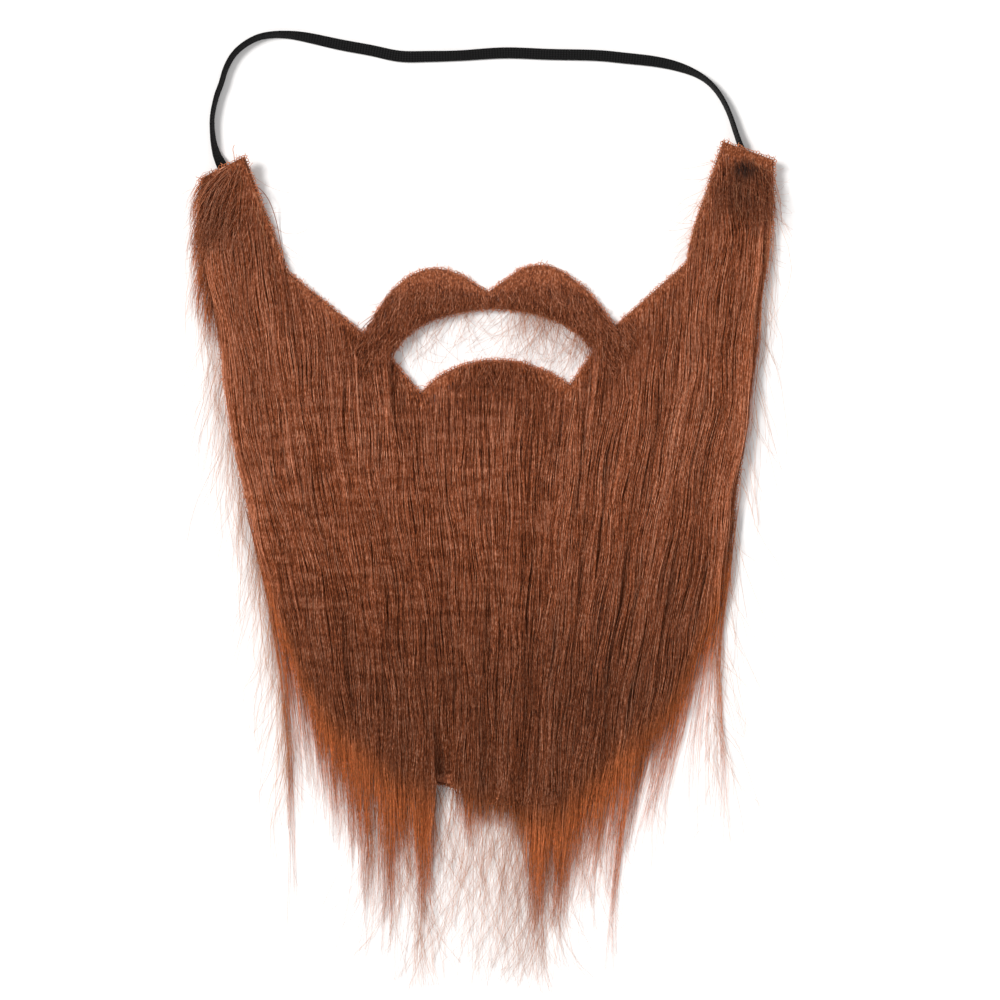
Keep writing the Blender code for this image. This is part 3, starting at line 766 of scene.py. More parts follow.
def hair_material(name):
    """Brown hair. The attribute holds tone, tip colour and a factor of painted shade, and Object
    space the rest.
    """
    if name in bpy.data.materials:
        return bpy.data.materials[name]
    settings = bpy.context.scene.beard_hair
    streaks, crimp, ends = HAIR_FINISHES[name]
    material, tree, shader = new_material(name, 0.5, 0.22)
    place = add_node(tree, "ShaderNodeTexCoord", (-1500, -200)).outputs["Object"]
    tone, tip, painted_shading = strand_numbers(tree, -1500)
    fine = add_node(
        tree, "ShaderNodeGroup", (-1300, -60), {
            "Vector": place, "Fineness": 2600.0, "Stretch": 0.06, "Strength": streaks},
        node_tree=streaks_group()).outputs
    bands = add_node(tree, "ShaderNodeGroup", (-1300, -320),
                     {"Vector": place, "Strength": crimp}, node_tree=crimp_sheen_group())
    both = math_node(tree, (-1080, -120), "ADD", fine["Shade"], bands.outputs["Shade"])
    toned = math_node(tree, (-900, 60), "ADD", tone, both)
    brown = colour_ramp(tree, (-720, 60), toned, settings.dark, settings.light,
                        (0.48, settings.brown))
    varied = map_range(tree, (-720, 300), toned, (0.1, 0.9), (0.55, 1.40))
    orange = mix_colours(tree, (-560, 300), "MULTIPLY", 1.0, getattr(settings, ends), varied)
    tipped = mix_colours(tree, (-440, 60), "MIX", tip, brown, orange)
    # The colour is multiplied by the factor of painted shade kept in the attribute.
    shaded = mix_colours(tree, (-240, 60), "MULTIPLY", 1.0, tipped, painted_shading)
    tree.links.new(shaded, shader.inputs["Base Color"])
    rough = map_range(tree, (-440, -220), both, (-0.5, 0.5), (0.40, 0.60))
    tree.links.new(rough, shader.inputs["Roughness"])
    add_bump(tree, shader, (-240, -220), fine["Height"], 0.25, 0.0002)
    return material


def knit_material(settings):
    """Brown knit with stitches a millimetre wide, painted lighter on their crowns and darker
    between them: painted light and shade on the relief.
    """
    material, tree, shader = new_material("brown_knit", 0.9, 0.15)
    shader.inputs["Sheen Weight"].default_value = 0.25
    shader.inputs["Sheen Roughness"].default_value = 0.6
    place = add_node(tree, "ShaderNodeTexCoord", (-900, 0)).outputs["Object"]
    knit = add_node(tree, "ShaderNodeGroup", (-700, 0),
                    {"Vector": place, "Stitch": settings.stitch}, node_tree=knit_group())
    fibre = add_node(
        tree, "ShaderNodeGroup", (-700, -240), {
            "Vector": place, "Fineness": 5200.0, "Stretch": 0.6, "Strength": 0.5},
        node_tree=streaks_group())
    summed = math_node(tree, (-500, 0), "ADD", knit.outputs["Height"], fibre.outputs["Shade"])
    # Painted shade in the hollows of the knit and painted light on its crowns.
    deep, crown = ((*(min(factor * part, 1.0) for part in settings.colour[:3]), 1.0)
                   for factor in (0.62, 1.35))
    ramp = colour_ramp(tree, (-320, 0), summed, deep, crown)
    tree.links.new(ramp, shader.inputs["Base Color"])
    add_bump(tree, shader, (-320, -260), summed, 0.8, 0.0004)
    return material


def elastic_material(settings, cords=5):
    """Black elastic: cords along it and cross ribs, from the numbers kept on its rings, painted
    lighter on their tops and darker between them as light and shade.
    """
    material, tree, shader = new_material("black_elastic", 0.75, 0.18)
    length, across, _ = strand_numbers(tree, -1100)
    cord = math_node(tree, (-740, 140), "MULTIPLY", across, FULL_TURN * cords)
    cord_wave = math_node(tree, (-580, 140), "COSINE", cord)
    rib = math_node(tree, (-740, -60), "MULTIPLY", length, FULL_TURN / settings.rib)
    rib_wave = math_node(tree, (-580, -60), "SINE", rib)
    summed = math_node(tree, (-400, 40), "MULTIPLY_ADD", cord_wave, 0.6, rib_wave)
    # Painted light and shade on the cords and ribs.
    shade = map_range(tree, (-220, 180), summed, (-1.6, 1.6), (0.55, 1.5))
    colour = mix_colours(tree, (-40, 180), "MULTIPLY", 1.0, settings.colour, shade)
    tree.links.new(colour, shader.inputs["Base Color"])
    add_bump(tree, shader, (-220, -120), summed, 0.7, 0.0002)
    return material


def floor_material():
    """Matt white."""
    material, tree, shader = new_material("pale_floor", 0.9, 0.1)
    place = add_node(tree, "ShaderNodeTexCoord", (-700, 0)).outputs["Object"]
    noise = add_node(tree, "ShaderNodeTexNoise", (-500, 0),
                     {"Vector": place, "Scale": 6.0, "Detail": 2.0})
    ramp = colour_ramp(tree, (-300, 0), noise.outputs[0], (0.88, 0.875, 0.88, 1.0),
                       (0.91, 0.905, 0.905, 1.0))
    tree.links.new(ramp, shader.inputs["Base Color"])
    return material


def deselect():
    """Leave nothing selected, so that an operator acts on new objects alone."""
    for item in bpy.context.view_layer.objects:
        item.select_set(False)


CLOTH_EDGE, MOUTH_EDGE = cut_outlines()
COMB = Comb(CLOTH_EDGE, MOUTH_EDGE)


def on_cloth(across, up):
    """Which points lie on the cloth, beside the mouth opening."""
    return inside(CLOTH_EDGE, across, up) & ~inside(MOUTH_EDGE, across, up)


def keep(mask, *columns):
    """The rows of some columns that a column of answers picks."""
    return [column[mask[:, 0]] for column in columns]


def part_hair(share, across, up):
    """Push strands off the partings. Gives their new place and how much painted shade darkens
    them, up to 1.
    """
    left, right = hair_limits(np.maximum(up, TURN))
    dark = np.zeros(np.shape(across))
    for place, upper, lower, half_gap, painted_shading in PARTINGS:
        run = smooth((upper - up) / 0.012) * smooth((up - lower) / 0.020)
        off = (share - place) * (right - left)
        across = across + np.sign(off) * half_gap * run * np.exp(-(off / (2.6 * half_gap)) ** 2)
        dark = np.maximum(dark, painted_shading * run * np.exp(-(off / (2.2 * half_gap)) ** 2))
    return across, dark


def nearness(across, up, middle, size):
    """Square of how far points lie from a middle, 1 at its size in each direction."""
    return ((across - middle[0]) / size[0]) ** 2 + ((up - middle[1]) / size[1]) ** 2


def dent(across, up):
    """How deep the seam of the right tab draws the hair in, from 0 to 1."""
    return np.exp(-nearness(across, up, DIMPLE, DIMPLE_SIZE) ** 2)


def sunk(top, across, up):
    """Height of the hair's top, less where the seam of the right tab draws it in."""
    return top * (1.0 - 0.55 * dent(across, up))


def painted_seam_shade(across, up):
    """Painted shade round the seam of the right tab: how light the hair is painted, darkest in
    the dent, with a painted shadow below it.
    """
    below = (DIMPLE[0] - SHADOW_OFFSET[0], DIMPLE[1] - SHADOW_OFFSET[1])
    shadow = np.exp(-nearness(across, up, below, SHADOW_SIZE))
    return (1.0 - 0.9 * dent(across, up)) * (1.0 - 0.30 * shadow)


def painted_falloff(up):
    """Painted light falloff: the hair is painted lighter at the cheeks and darker towards the
    hem.
    """
    return 1.08 - 0.34 * smooth((-0.060 - up) / 0.085)


def toward_sides(share):
    """0 for the middle of the chin, 1 for the cheeks on both sides."""
    return smooth((np.abs(share - 0.5) - 0.18) / 0.18)


def hem_tint(share, up):
    """How much of the tip colour hair has by its place: full beyond the hem of a full lock. The
    tip colour is painted brighter for light that shines through thin hair.
    """
    start = COMB.hem_at(share) + 0.005 + 0.011 * toward_sides(share)
    full = np.minimum(2.0 * COMB.fullness[COMB.lock_of(share)], 1.0)
    return smooth((start - up) / 0.018) * full


def thinned_tips(rng, share, lock, rarity):
    """Lowest points of strands, fewer the farther below the hem and from their lock's middle."""
    edge = COMB.hem_at(share)
    off = np.clip(np.abs(share - COMB.share[lock]) / COMB.spacing[lock], 0.0, 1.0)
    reach = rng.random(share.shape) ** rarity * (1.0 - 0.55 * off)
    return edge + (COMB.tip[lock] - edge) * reach * np.minimum(COMB.fullness[lock] * 2.0, 1.0)


def tones(rng, count, mean, deviation, lowest=0.05, shift=0.0):
    """Random tones of strands, darkest to lightest from 0 to 1."""
    return np.clip(rng.normal(mean, deviation, (count, 1)) + shift, lowest, 1.0)


def combed_pieces(parts, share, paths, half, looks):
    """Make a piece of combed strands for each part, a row of its name and its range of shares."""
    for name, low, high in parts:
        mine = ((share >= low) & (share < high))[:, 0]
        if not mine.any():
            raise RuntimeError(f"{name} has no strands")
        tubes(name, paths[mine], half[mine], [look[mine] for look in looks],
              hair_material("combed_brown_hair"))


def loose_paths(rng, across, up, angle, length, bend, heights, rings=7):
    """Free hairs from a start, as paths that curve and ripple over the floor."""
    t = along(rings)
    turn = angle + bend * t
    turn = turn + rng.normal(0.0, 0.12, angle.shape) * np.sin(
        rng.uniform(4.0, 14.0, angle.shape) * t + ANY_PHASE * rng.random(angle.shape))
    step = length / (rings - 1)
    x = np.cumsum(np.hstack([across, np.sin(turn[:, :-1]) * step]), axis=1)
    y = np.cumsum(np.hstack([up, -np.cos(turn[:, :-1]) * step]), axis=1)
    return path_points(x, y, heights[0] + (heights[1] - heights[0]) * smooth(t * 1.4))


def in_view(name, paths):
    """The paths of a piece that stay within the room around the beard."""
    across, up = paths[..., 0], paths[..., 1]
    kept = paths[(np.abs(across).max(axis=1) < SIDE_LIMIT) & (up.min(axis=1) > LOWEST)
                 & (up.max(axis=1) < SIDEBURN_RISE + 0.02)]
    if not len(kept):
        raise RuntimeError(f"{name} has no hairs in the room around the beard")
    return kept


class BEARD_OT_studio(bpy.types.Operator):
    """Add the pale floor, the even surroundings, the key light and the camera"""

    bl_idname = "beard.studio"
    bl_label = "Studio"

    FLOOR_SIZE = 6.0
    SENSOR = 36.0
    VIEW_CENTRE = (0.0059, 0.0196)
    KEY_DIRECTION = (-0.9, 0.4)
    KEY_COLOUR = (1.0, 0.985, 0.965)
    AIR_COLOUR = (1.0, 0.995, 0.99, 1.0)

    def execute(self, context):
        settings = context.scene.beard_studio
        deselect()
        bpy.ops.mesh.primitive_grid_add(x_subdivisions=4, y_subdivisions=4, size=self.FLOOR_SIZE)
        floor = context.active_object
        floor.name = "floor"
        floor.data.materials.append(floor_material())

        world = bpy.data.worlds.new("white_surroundings")
        world.use_nodes = True
        background = world.node_tree.nodes["Background"]
        background.inputs["Color"].default_value = self.AIR_COLOUR
        background.inputs["Strength"].default_value = settings.ambient
        context.scene.world = world

        flat = Vector(self.KEY_DIRECTION).normalized() * math.cos(settings.key_height)
        towards = Vector((flat.x, flat.y, math.sin(settings.key_height)))
        bpy.ops.object.light_add(type="SUN", location=towards,
                                 rotation=towards.to_track_quat("Z", "Y").to_euler())
        key = context.active_object
        key.name = "key_light"
        key.data.energy = settings.key_power
        key.data.angle = settings.key_softness
        key.data.color = self.KEY_COLOUR

        bpy.ops.object.camera_add(
            location=(*self.VIEW_CENTRE, settings.camera_height), rotation=(0.0, 0.0, 0.0))
        camera = context.active_object
        camera.name = "overhead_camera"
        camera.data.sensor_width = self.SENSOR
        camera.data.lens = self.SENSOR * settings.camera_height / settings.view_width
        camera.data.clip_start, camera.data.clip_end = 0.05, 20.0
        context.scene.camera = camera
        context.scene.view_settings.view_transform = "Standard"
        context.scene.view_settings.look = "None"
        return {"FINISHED"}


class BEARD_OT_strap(bpy.types.Operator):
    """Add the flat elastic from tab to tab"""

    bl_idname = "beard.strap"
    bl_label = "Elastic strap"

    POINTS = 360
    SIDES = 14
    SQUARENESS = 0.42
    RIB_RISE = 0.03

    def execute(self, context):
        settings = context.scene.beard_strap
        across, up, degrees, held = smooth_route(STRAP_ROUTE, self.POINTS).T
        lean = np.radians(degrees)
        lying = 0.5 * (settings.width * np.sin(lean) + settings.thickness * np.cos(lean))
        hugging = tab_lift(across, up) - SEAM_GAP - lying
        height = lying + np.maximum(hugging - lying, 0.0) * held
        path = np.stack([across, up, height], axis=1)
        length = distances(path)
        wave = 1.0 + self.RIB_RISE * np.sin(FULL_TURN * length / settings.rib)
        section = ring(self.SIDES, self.SQUARENESS)
        piece = tubes(
            "elastic_ribbon", path[None], 0.5 * settings.width,
            (length[None, :, None], 0.5 + 0.5 * section[:, 0], 0.0),
            elastic_material(settings), section,
            0.5 * settings.thickness * wave[None], lean[None])
        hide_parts("elastic_strap")
        return {"FINISHED"}


class BEARD_OT_cloth(bpy.types.Operator):
    """Add the knitted cloth that carries the hair"""

    bl_idname = "beard.cloth"
    bl_label = "Back cloth"

    EDGE_ROUNDING = 0.00025

    def execute(self, context):
        settings = context.scene.beard_cloth
        deselect()
        piece = add_piece("knit_backing", bpy.data.objects["fur_backing"].data.copy())
        piece.select_set(True)
        context.view_layer.objects.active = piece
        bpy.ops.object.mode_set(mode="EDIT")
        bpy.ops.mesh.select_all(action="SELECT")
        bpy.ops.mesh.remove_doubles(threshold=WELD)
        bpy.ops.mesh.tris_convert_to_quads()
        bpy.ops.object.mode_set(mode="OBJECT")
        bevel = piece.modifiers.new("soft_edges", "BEVEL")
        bevel.width = self.EDGE_ROUNDING
        bevel.segments = 2
        bevel.limit_method = "ANGLE"
        bevel.angle_limit = math.radians(50)
        bpy.ops.object.modifier_apply(modifier=bevel.name)
        bpy.ops.object.shade_smooth_by_angle(angle=math.radians(40))
        finish_piece(piece, knit_material(settings))
        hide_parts("fur_backing")
        return {"FINISHED"}


class BEARD_OT_root_mat(bpy.types.Operator):
    """Add the dense short hair at the roots, cut with the cloth"""

    bl_idname = "beard.root_mat"
    bl_label = "Root mat"

    GAP = 0.0001
    HEIGHT = 0.0019
    INSET = 0.0008
    EDGE_REACH = 0.0005
    EDGE_STEP = 0.0003
    # Tone, tip colour, a factor of painted shade for the hair deep under the strands, and a last
    # value of 1.
    LOOKS = (0.34, 0.0, 0.70, 1.0)

    def execute(self, context):
        body = welded("fur_backing")
        layer = body.verts.layers.float_color.new("strand")
        rims = [evenly(outline, self.EDGE_STEP) for outline in (CLOTH_EDGE, MOUTH_EDGE)]
        points = np.concatenate([painted_rim_light[0][:, :2] for painted_rim_light in rims])
        inwards = np.concatenate([-rims[0][2], rims[1][2]])
        for vertex in body.verts:
            across, up = vertex.co.x - LIP[0], vertex.co.y - LIP[1]
            lift = float(tab_lift(across, up))
            upper = vertex.co.z - lift > 0.5 * CLOTH_THICKNESS
            vertex.co.z = lift + CLOTH_THICKNESS + self.GAP + (self.HEIGHT if upper else 0.0)
            away = np.hypot(points[:, 0] - across, points[:, 1] - up)
            nearest = int(away.argmin())
            if away[nearest] < self.EDGE_REACH:
                vertex.co.x += self.INSET * inwards[nearest, 0]
                vertex.co.y += self.INSET * inwards[nearest, 1]
            vertex[layer] = self.LOOKS
        mesh = bpy.data.meshes.new("root_mat")
        body.to_mesh(mesh)
        body.free()
        finish_piece(add_piece("root_mat", mesh), hair_material("deep_brown_hair"))
        return {"FINISHED"}


class BEARD_OT_underlayer(bpy.types.Operator):
    """Add the deep hair: broad overlapping locks that fill the pile"""

    bl_idname = "beard.underlayer"
    bl_label = "Deep hair"

    LOCKS = 110
    RINGS = 18
    SIDES = 8
    FILL = 0.78
    SIDE_MARGIN = 0.016
    ROUNDING = 0.006
    OVERLAP = 1.575

    def execute(self, context):
        settings = context.scene.beard_hair
        share = np.linspace(self.SIDE_MARGIN, 1.0 - self.SIDE_MARGIN, self.LOCKS)[:, None]
        lock = COMB.lock_of(share)
        root = COMB.root_at(share) - 0.0014
        tip = COMB.hem_at(share) + 0.0004
        up = root + (tip - root) * along(self.RINGS) ** 1.15
        across = COMB.run(share, up, lock, 0.8)
        top = COMB.height(share, up, lock, settings.pile_height) * self.FILL
        top = sunk(top, across, up)
        bottom = PILE_BASE * smooth((up - COMB.edge[lock] + 0.010) / 0.012) + 0.0001
        bottom = np.minimum(bottom, top - 0.0003)
        left, right = hair_limits(np.maximum(up, TURN))
        ending = np.sqrt(np.clip((up - tip) / 0.008, 0.0, 1.0))
        starting = np.sqrt(np.clip((root - up) / self.ROUNDING, 0.02, 1.0))
        half = (right - left) * 0.5 * self.OVERLAP / self.LOCKS
        half = half * (0.06 + 0.94 * ending) * starting
        # The deep hair is painted darker as shade below the strands, and darker towards the hem;
        # near the hem it takes the tip colour, painted brighter for light through thin hair.
        tint = hem_tint(share, up)
        deep = 0.70 * painted_falloff(up) * (1.0 - tint) + 0.72 * tint
        piece = tubes(
            "deep_hair", path_points(across, up, 0.5 * (top + bottom) + tab_lift(across, up)),
            half, (0.36 + 0.08 * ripple(share, 5, 5.0, 30.0), 0.7 * tint,
                   deep * painted_seam_shade(across, up)),
            hair_material("deep_brown_hair"), section=ring(self.SIDES),
            half_height=0.5 * (top - bottom))
        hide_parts("fur_pile")
        return {"FINISHED"}


class BEARD_OT_body_hair(bpy.types.Operator):
    """Add the long combed strands of the cheeks and chin, in three pieces"""

    bl_idname = "beard.body_hair"
    bl_label = "Body hair"

    RINGS = 6
    FINE_STEPS = 26
    CLUMPS = 210.0
    DEEPEST = 0.82
    PARTS = (("cheek_hair_left", 0.0, 0.335), ("chin_hair", 0.335, 0.665),
             ("cheek_hair_right", 0.665, 1.0))

    def rooted(self, rng, size):
        """Share and root height of strands that start on the cloth, evenly over its width."""
        share = rng.random(size)
        root = rng.uniform(-CLOTH_DROP, SIDEBURN_RISE, size)
        left, right = hair_limits(root)
        across = COMB.flow(share, root)
        fits = on_cloth(across, root) & inside(CLOTH_EDGE, across, root + 0.0012)
        fits &= rng.random(size) < (right - left) / (2.0 * HALF_WIDTH)
        return keep(fits, share, root)

    def crosses_mouth(self, across, up):
        """Which strands pass over the mouth opening, tested at fine steps."""
        fine = np.linspace(0, self.RINGS - 1, self.FINE_STEPS)
        low, part = fine.astype(int), fine % 1.0
        high = np.minimum(low + 1, self.RINGS - 1)
        x, y = (rows[:, low] * (1.0 - part) + rows[:, high] * part for rows in (across, up))
        return inside(MOUTH_EDGE, x, y).any(axis=1)

    def execute(self, context):
        settings = context.scene.beard_hair
        rng = np.random.default_rng(settings.seed)
        share, root = self.rooted(rng, (settings.body_count * 3, 1))
        size = share.shape
        lock = COMB.lock_of(share)
        length = rng.uniform(settings.shortest, settings.longest, size)
        tip = np.maximum(root - length, thinned_tips(rng, share, lock, 3.0))
        t = along(self.RINGS)
        up = root + (tip - root) * t
        clump = share * self.CLUMPS + 0.7 * ripple(share, 21, 20.0, 60.0)
        pull = (np.rint(clump) / self.CLUMPS - share) * (0.1 + 0.3 * t)
        across = COMB.run(share + pull, up, lock, 0.6)
        across += 0.0005 * (np.sin(FULL_TURN * (17.0 * up + 6.0 * share))
                            + np.sin(FULL_TURN * (29.0 * up - 11.0 * share)))
        across += rng.normal(0.0, 0.0011, size) * t
        across += rng.normal(0.0, 0.0003, size) * np.sin(
            up * rng.uniform(60.0, 120.0, size) + ANY_PHASE * rng.random(size))
        good = np.flatnonzero(~self.crosses_mouth(across, up))[: settings.body_count]
        share, up, across, lock = share[good], up[good], across[good], lock[good]

        size = share.shape
        layer = rng.uniform(self.DEEPEST, 1.0, size)
        rising = 0.60 + 0.40 * smooth(t / 0.3)
        rising = rising * (1.0 + 0.03 * np.sin(9.0 * t + ANY_PHASE * rng.random(size)))
        top = COMB.height(share, up, lock, settings.pile_height)
        across, parting_shade = part_hair(share, across, up)
        bands = 1.0 + 0.03 * ripple(up + 0.02 * np.sin(40.0 * across), 31, 60.0, 120.0)
        height = sunk(top, across, up) * layer * rising * bands * (1.0 - 0.12 * parting_shade)

        clumps = ripple(share, 17, 25.0, 90.0) * 0.05 + ripple(share, 18, 3.0, 9.0) * 0.03
        # Nearness to the sides, where the thin outer hair gets a painted highlight.
        painted_rim_light = 1.0 - smooth((np.minimum(share, 1.0 - share) - 0.004) / 0.055)
        tone = tones(rng, len(share), 0.50, 0.115, shift=clumps)
        # Painted light: darker towards the hem, a painted sheen on the upper left cheek and a
        # painted highlight along the thin outer edges.
        tone = tone - 0.055 * smooth((-0.045 - up) / 0.080)
        tone += 0.035 * smooth((up + 0.070) / 0.060) * smooth((0.42 - share) / 0.20)
        tone += 0.13 * painted_rim_light
        tint = hem_tint(share, up)
        tip_colour = np.maximum(0.9 * tint, 0.12 * painted_rim_light)
        # Painted shade in and below the right tab's dent, beside the partings, towards the hem
        # and on the lower layers; near the hem the hair is painted brighter for light that shines
        # through it.
        dark = painted_seam_shade(across, up) * (1.0 - 0.55 * parting_shade)
        shade = painted_falloff(up) * (1.0 - tint) + 0.98 * tint
        painted_shading = 0.84 + 0.16 * (layer - self.DEEPEST) / (1.0 - self.DEEPEST)
        painted_shading = painted_shading * shade * dark * (1.0 + 0.04 * painted_rim_light)
        half = 0.5 * settings.thickness * rng.uniform(0.7, 1.25, size) * pointed(t, 0.6, 0.75)
        half = half * (1.0 - 0.35 * tip_colour)
        combed_pieces(self.PARTS, share, path_points(across, up, height + tab_lift(across, up)),
                      half, (tone, tip_colour, painted_shading))
        return {"FINISHED"}


class BEARD_OT_root_hair(bpy.types.Operator):
    """Add shorter strands that start close to the cut edges of the cheeks and the chin"""

    bl_idname = "beard.root_hair"
    bl_label = "Root hair"

    RINGS = 5
    DEPTH = 0.006

    def execute(self, context):
        settings = context.scene.beard_hair
        rng = np.random.default_rng(settings.seed + 6)
        size = (settings.root_count, 1)
        share = rng.random(size)
        root = COMB.root_at(share) - 0.0012 - rng.exponential(self.DEPTH, size)
        lock = COMB.lock_of(share)
        t = along(self.RINGS)
        up = root - rng.uniform(0.006, 0.028, size) * t
        across = COMB.run(share, up, lock) + rng.normal(0.0, 0.0004, size) * t
        layer = rng.uniform(0.6, 1.02, size)
        top = sunk(COMB.height(share, up, lock, settings.pile_height), across, up)
        height = top * layer * (0.6 + 0.4 * smooth(t / 0.3)) + tab_lift(across, up)
        # Painted shade: lower strands darker, and darker round the right tab's seam.
        painted_shading = (0.70 + 0.30 * layer) * painted_seam_shade(across, up)
        fits = on_cloth(across, up).all(axis=1)
        paths, painted_shading = path_points(across, up, height)[fits], painted_shading[fits]
        tone = tones(rng, len(paths), 0.44, 0.16)
        half = 0.45 * settings.thickness * pointed(t, 0.5, 0.7)
        half = half * rng.uniform(0.7, 1.2, (len(paths), 1))
        tubes("root_hair", paths, half, (tone, 0.0, painted_shading), hair_material("combed_brown_hair"))
        return {"FINISHED"}


class BEARD_OT_moustache_hair(bpy.types.Operator):
    """Add the short strands above the mouth, fanned a little to both sides"""

    bl_idname = "beard.moustache_hair"
    bl_label = "Moustache hair"

    RINGS = 5
    HEIGHT = 0.0046
    FAN = math.radians(24)
    SHORTENING = 0.2
    LOWEST_LAYER = 0.70
    DEEP_LOCKS = 34
    DEEP_RINGS = 7
    DEEP_HALF_WIDTH = 0.0026
    DEEP_FILL = 0.75

    def rise(self, up):
        """Height of the hair above its base, lower towards the upper edge."""
        return self.HEIGHT * (0.38 + 0.62 * smooth((0.036 - up) / 0.030))

    def deep_hair(self):
        """Broad upright locks that fill the moustache below its strands."""
        middle = np.linspace(-0.93, 0.93, self.DEEP_LOCKS)[:, None]
        middle = FACE_OFFSET + middle * MOUSTACHE_HALF_WIDTH
        ups = np.arange(0.0, 0.042, 0.0004)[None, :]
        covered = on_cloth(middle, ups) & (ups > 0.004)
        low = np.where(covered, ups, 1.0).min(axis=1, keepdims=True) + 0.0010
        high = np.where(covered, ups, -1.0).max(axis=1, keepdims=True) - 0.0010
        t = along(self.DEEP_RINGS)
        up = high + (low - high) * t
        half_height = 0.5 * self.DEEP_FILL * self.rise(up)
        rounding = np.sqrt(np.clip(np.minimum(t, 1.0 - t) * 6.0, 0.05, 1.0))
        # The deep locks are painted darker, as shade below the strands.
        tubes("deep_moustache_hair", path_points(middle, up, PILE_BASE + half_height),
              self.DEEP_HALF_WIDTH * rounding, (0.30, 0.0, 0.62),
              hair_material("deep_brown_hair"), section=ring(8),
              half_height=half_height * rounding)

    def execute(self, context):
        settings = context.scene.beard_hair
        rng = np.random.default_rng(settings.seed + 1)
        size = (settings.moustache_count * 5, 1)
        across = FACE_OFFSET + MOUSTACHE_HALF_WIDTH * rng.uniform(-1.12, 1.12, size)
        up = rng.uniform(-0.004, 0.0385, size)
        across, up = keep(on_cloth(across, up), across, up)
        side = (across - FACE_OFFSET) / MOUSTACHE_HALF_WIDTH
        angle = self.FAN * side + rng.normal(0.0, 0.22, across.shape)
        length = rng.uniform(0.004, 0.014, across.shape)
        shorter = np.ones(across.shape)
        for trial in (1.0, 0.8, 0.6, 0.4, 0.2):
            end_x = across + np.sin(angle) * length * shorter
            end_y = up - np.cos(angle) * length * shorter
            over = inside(MOUTH_EDGE, end_x, end_y + 0.0005)
            shorter = np.where(over, trial - self.SHORTENING, shorter)
        good = np.flatnonzero(shorter > 0.15)[: settings.moustache_count]
        length = length * shorter
        across, up, angle, length, side = (
            column[good] for column in (across, up, angle, length, side))

        size = across.shape
        t = along(self.RINGS)
        turn = angle + rng.normal(0.0, 0.25, size) * t
        x = across + np.sin(turn) * length * t
        y = up - np.cos(turn) * length * t
        layer = rng.uniform(self.LOWEST_LAYER, 1.0, size)
        height = PILE_BASE + self.rise(y) * layer * (0.5 + 0.5 * smooth(t / 0.5))
        tone = tones(rng, len(across), 0.42, 0.15, shift=0.10 * ripple(side, 41, 4.0, 14.0))
        # Painted shade: lower strands darker.
        painted_shading = 0.73 + 0.23 * (layer - self.LOWEST_LAYER) / (1.0 - self.LOWEST_LAYER)
        half = 0.42 * settings.thickness * pointed(t, 0.5, 0.7) * rng.uniform(0.7, 1.2, size)
        tubes("moustache_hair", path_points(x, y, height), half, (tone, 0.0, painted_shading),
              hair_material("combed_brown_hair"))
        self.deep_hair()
        return {"FINISHED"}


class BEARD_OT_fringe(bpy.types.Operator):
    """Add the hair that runs out below the hem in pointed, ever thinner locks"""

    bl_idname = "beard.fringe"
    bl_label = "Fringe"

    RINGS = 6
    PARTS = (("fringe_left", 0.0, 0.5), ("fringe_right", 0.5, 1.0))

    def weights(self):
        """How many strands each lock gets. A bare one still gets some, cut off at the hem."""
        share = COMB.spacing * np.maximum(COMB.fullness, 0.5) + 0.004
        return share / share.sum()

    def execute(self, context):
        settings = context.scene.beard_hair
        rng = np.random.default_rng(settings.seed + 2)
        size = (settings.fringe_count, 1)
        lock = rng.choice(len(COMB.share), size, p=self.weights())
        off = np.clip(rng.normal(0.0, 0.42, size), -0.58, 0.58)
        share = np.clip(COMB.share[lock] + off * COMB.spacing[lock], 0.002, 0.998)
        edge = COMB.hem_at(share)
        root = edge + rng.uniform(0.003, 0.030, size)
        outer = toward_sides(share)
        tip = edge + (1.00 + 1.10 * outer) * (
            thinned_tips(rng, share, lock, 1.5 + 0.4 * outer) - edge)
        tip = np.maximum(tip, LOWEST + 0.010)
        t = along(self.RINGS)
        up = root + (tip - root) * t
        gather = np.clip(rng.normal(0.50, 0.30, size), -0.2, 1.0) * (1.0 - 0.55 * outer)
        across = COMB.run(share, up, lock, gather)
        across = across + rng.normal(0.0, 0.0018, size) * t ** 2
        across = across + rng.normal(0.0, 0.0006, size) * np.sin(
            up * rng.uniform(60.0, 240.0, size) + ANY_PHASE * rng.random(size)) * t
        across = np.clip(across, -SIDE_LIMIT, SIDE_LIMIT)
        layer = rng.uniform(0.05, 1.0, size)
        top = 0.96 * COMB.height(share, up, lock, settings.pile_height)
        carried = smooth((up - edge + 0.006) / 0.008)
        low = 0.0003 + (PILE_BASE + 0.3 * (top - PILE_BASE)) * carried
        height = low + np.maximum(top - low, 0.0002) * layer
        # Painted light: lower layers darker; near and beyond the hem the hair is painted brighter
        # and more orange for light that shines through it, with a random spread.
        tint = hem_tint(share, up)
        tone = tones(rng, len(share), 0.52, 0.20)
        tip_colour = tint * tones(rng, len(share), 0.80, 0.20, 0.1)
        bright = 0.66 + 0.22 * layer + rng.uniform(-0.12, 0.22, size)
        painted_shading = bright * (painted_falloff(up) * (1.0 - tint) + 1.06 * tint)
        half = 0.5 * settings.thickness * rng.uniform(0.40, 0.85, size)
        half = half * pointed(t, 0.35, 0.70) * (1.0 - 0.25 * outer)
        combed_pieces(self.PARTS, share, path_points(across, up, height), half,
                      (tone, tip_colour, painted_shading))
        return {"FINISHED"}


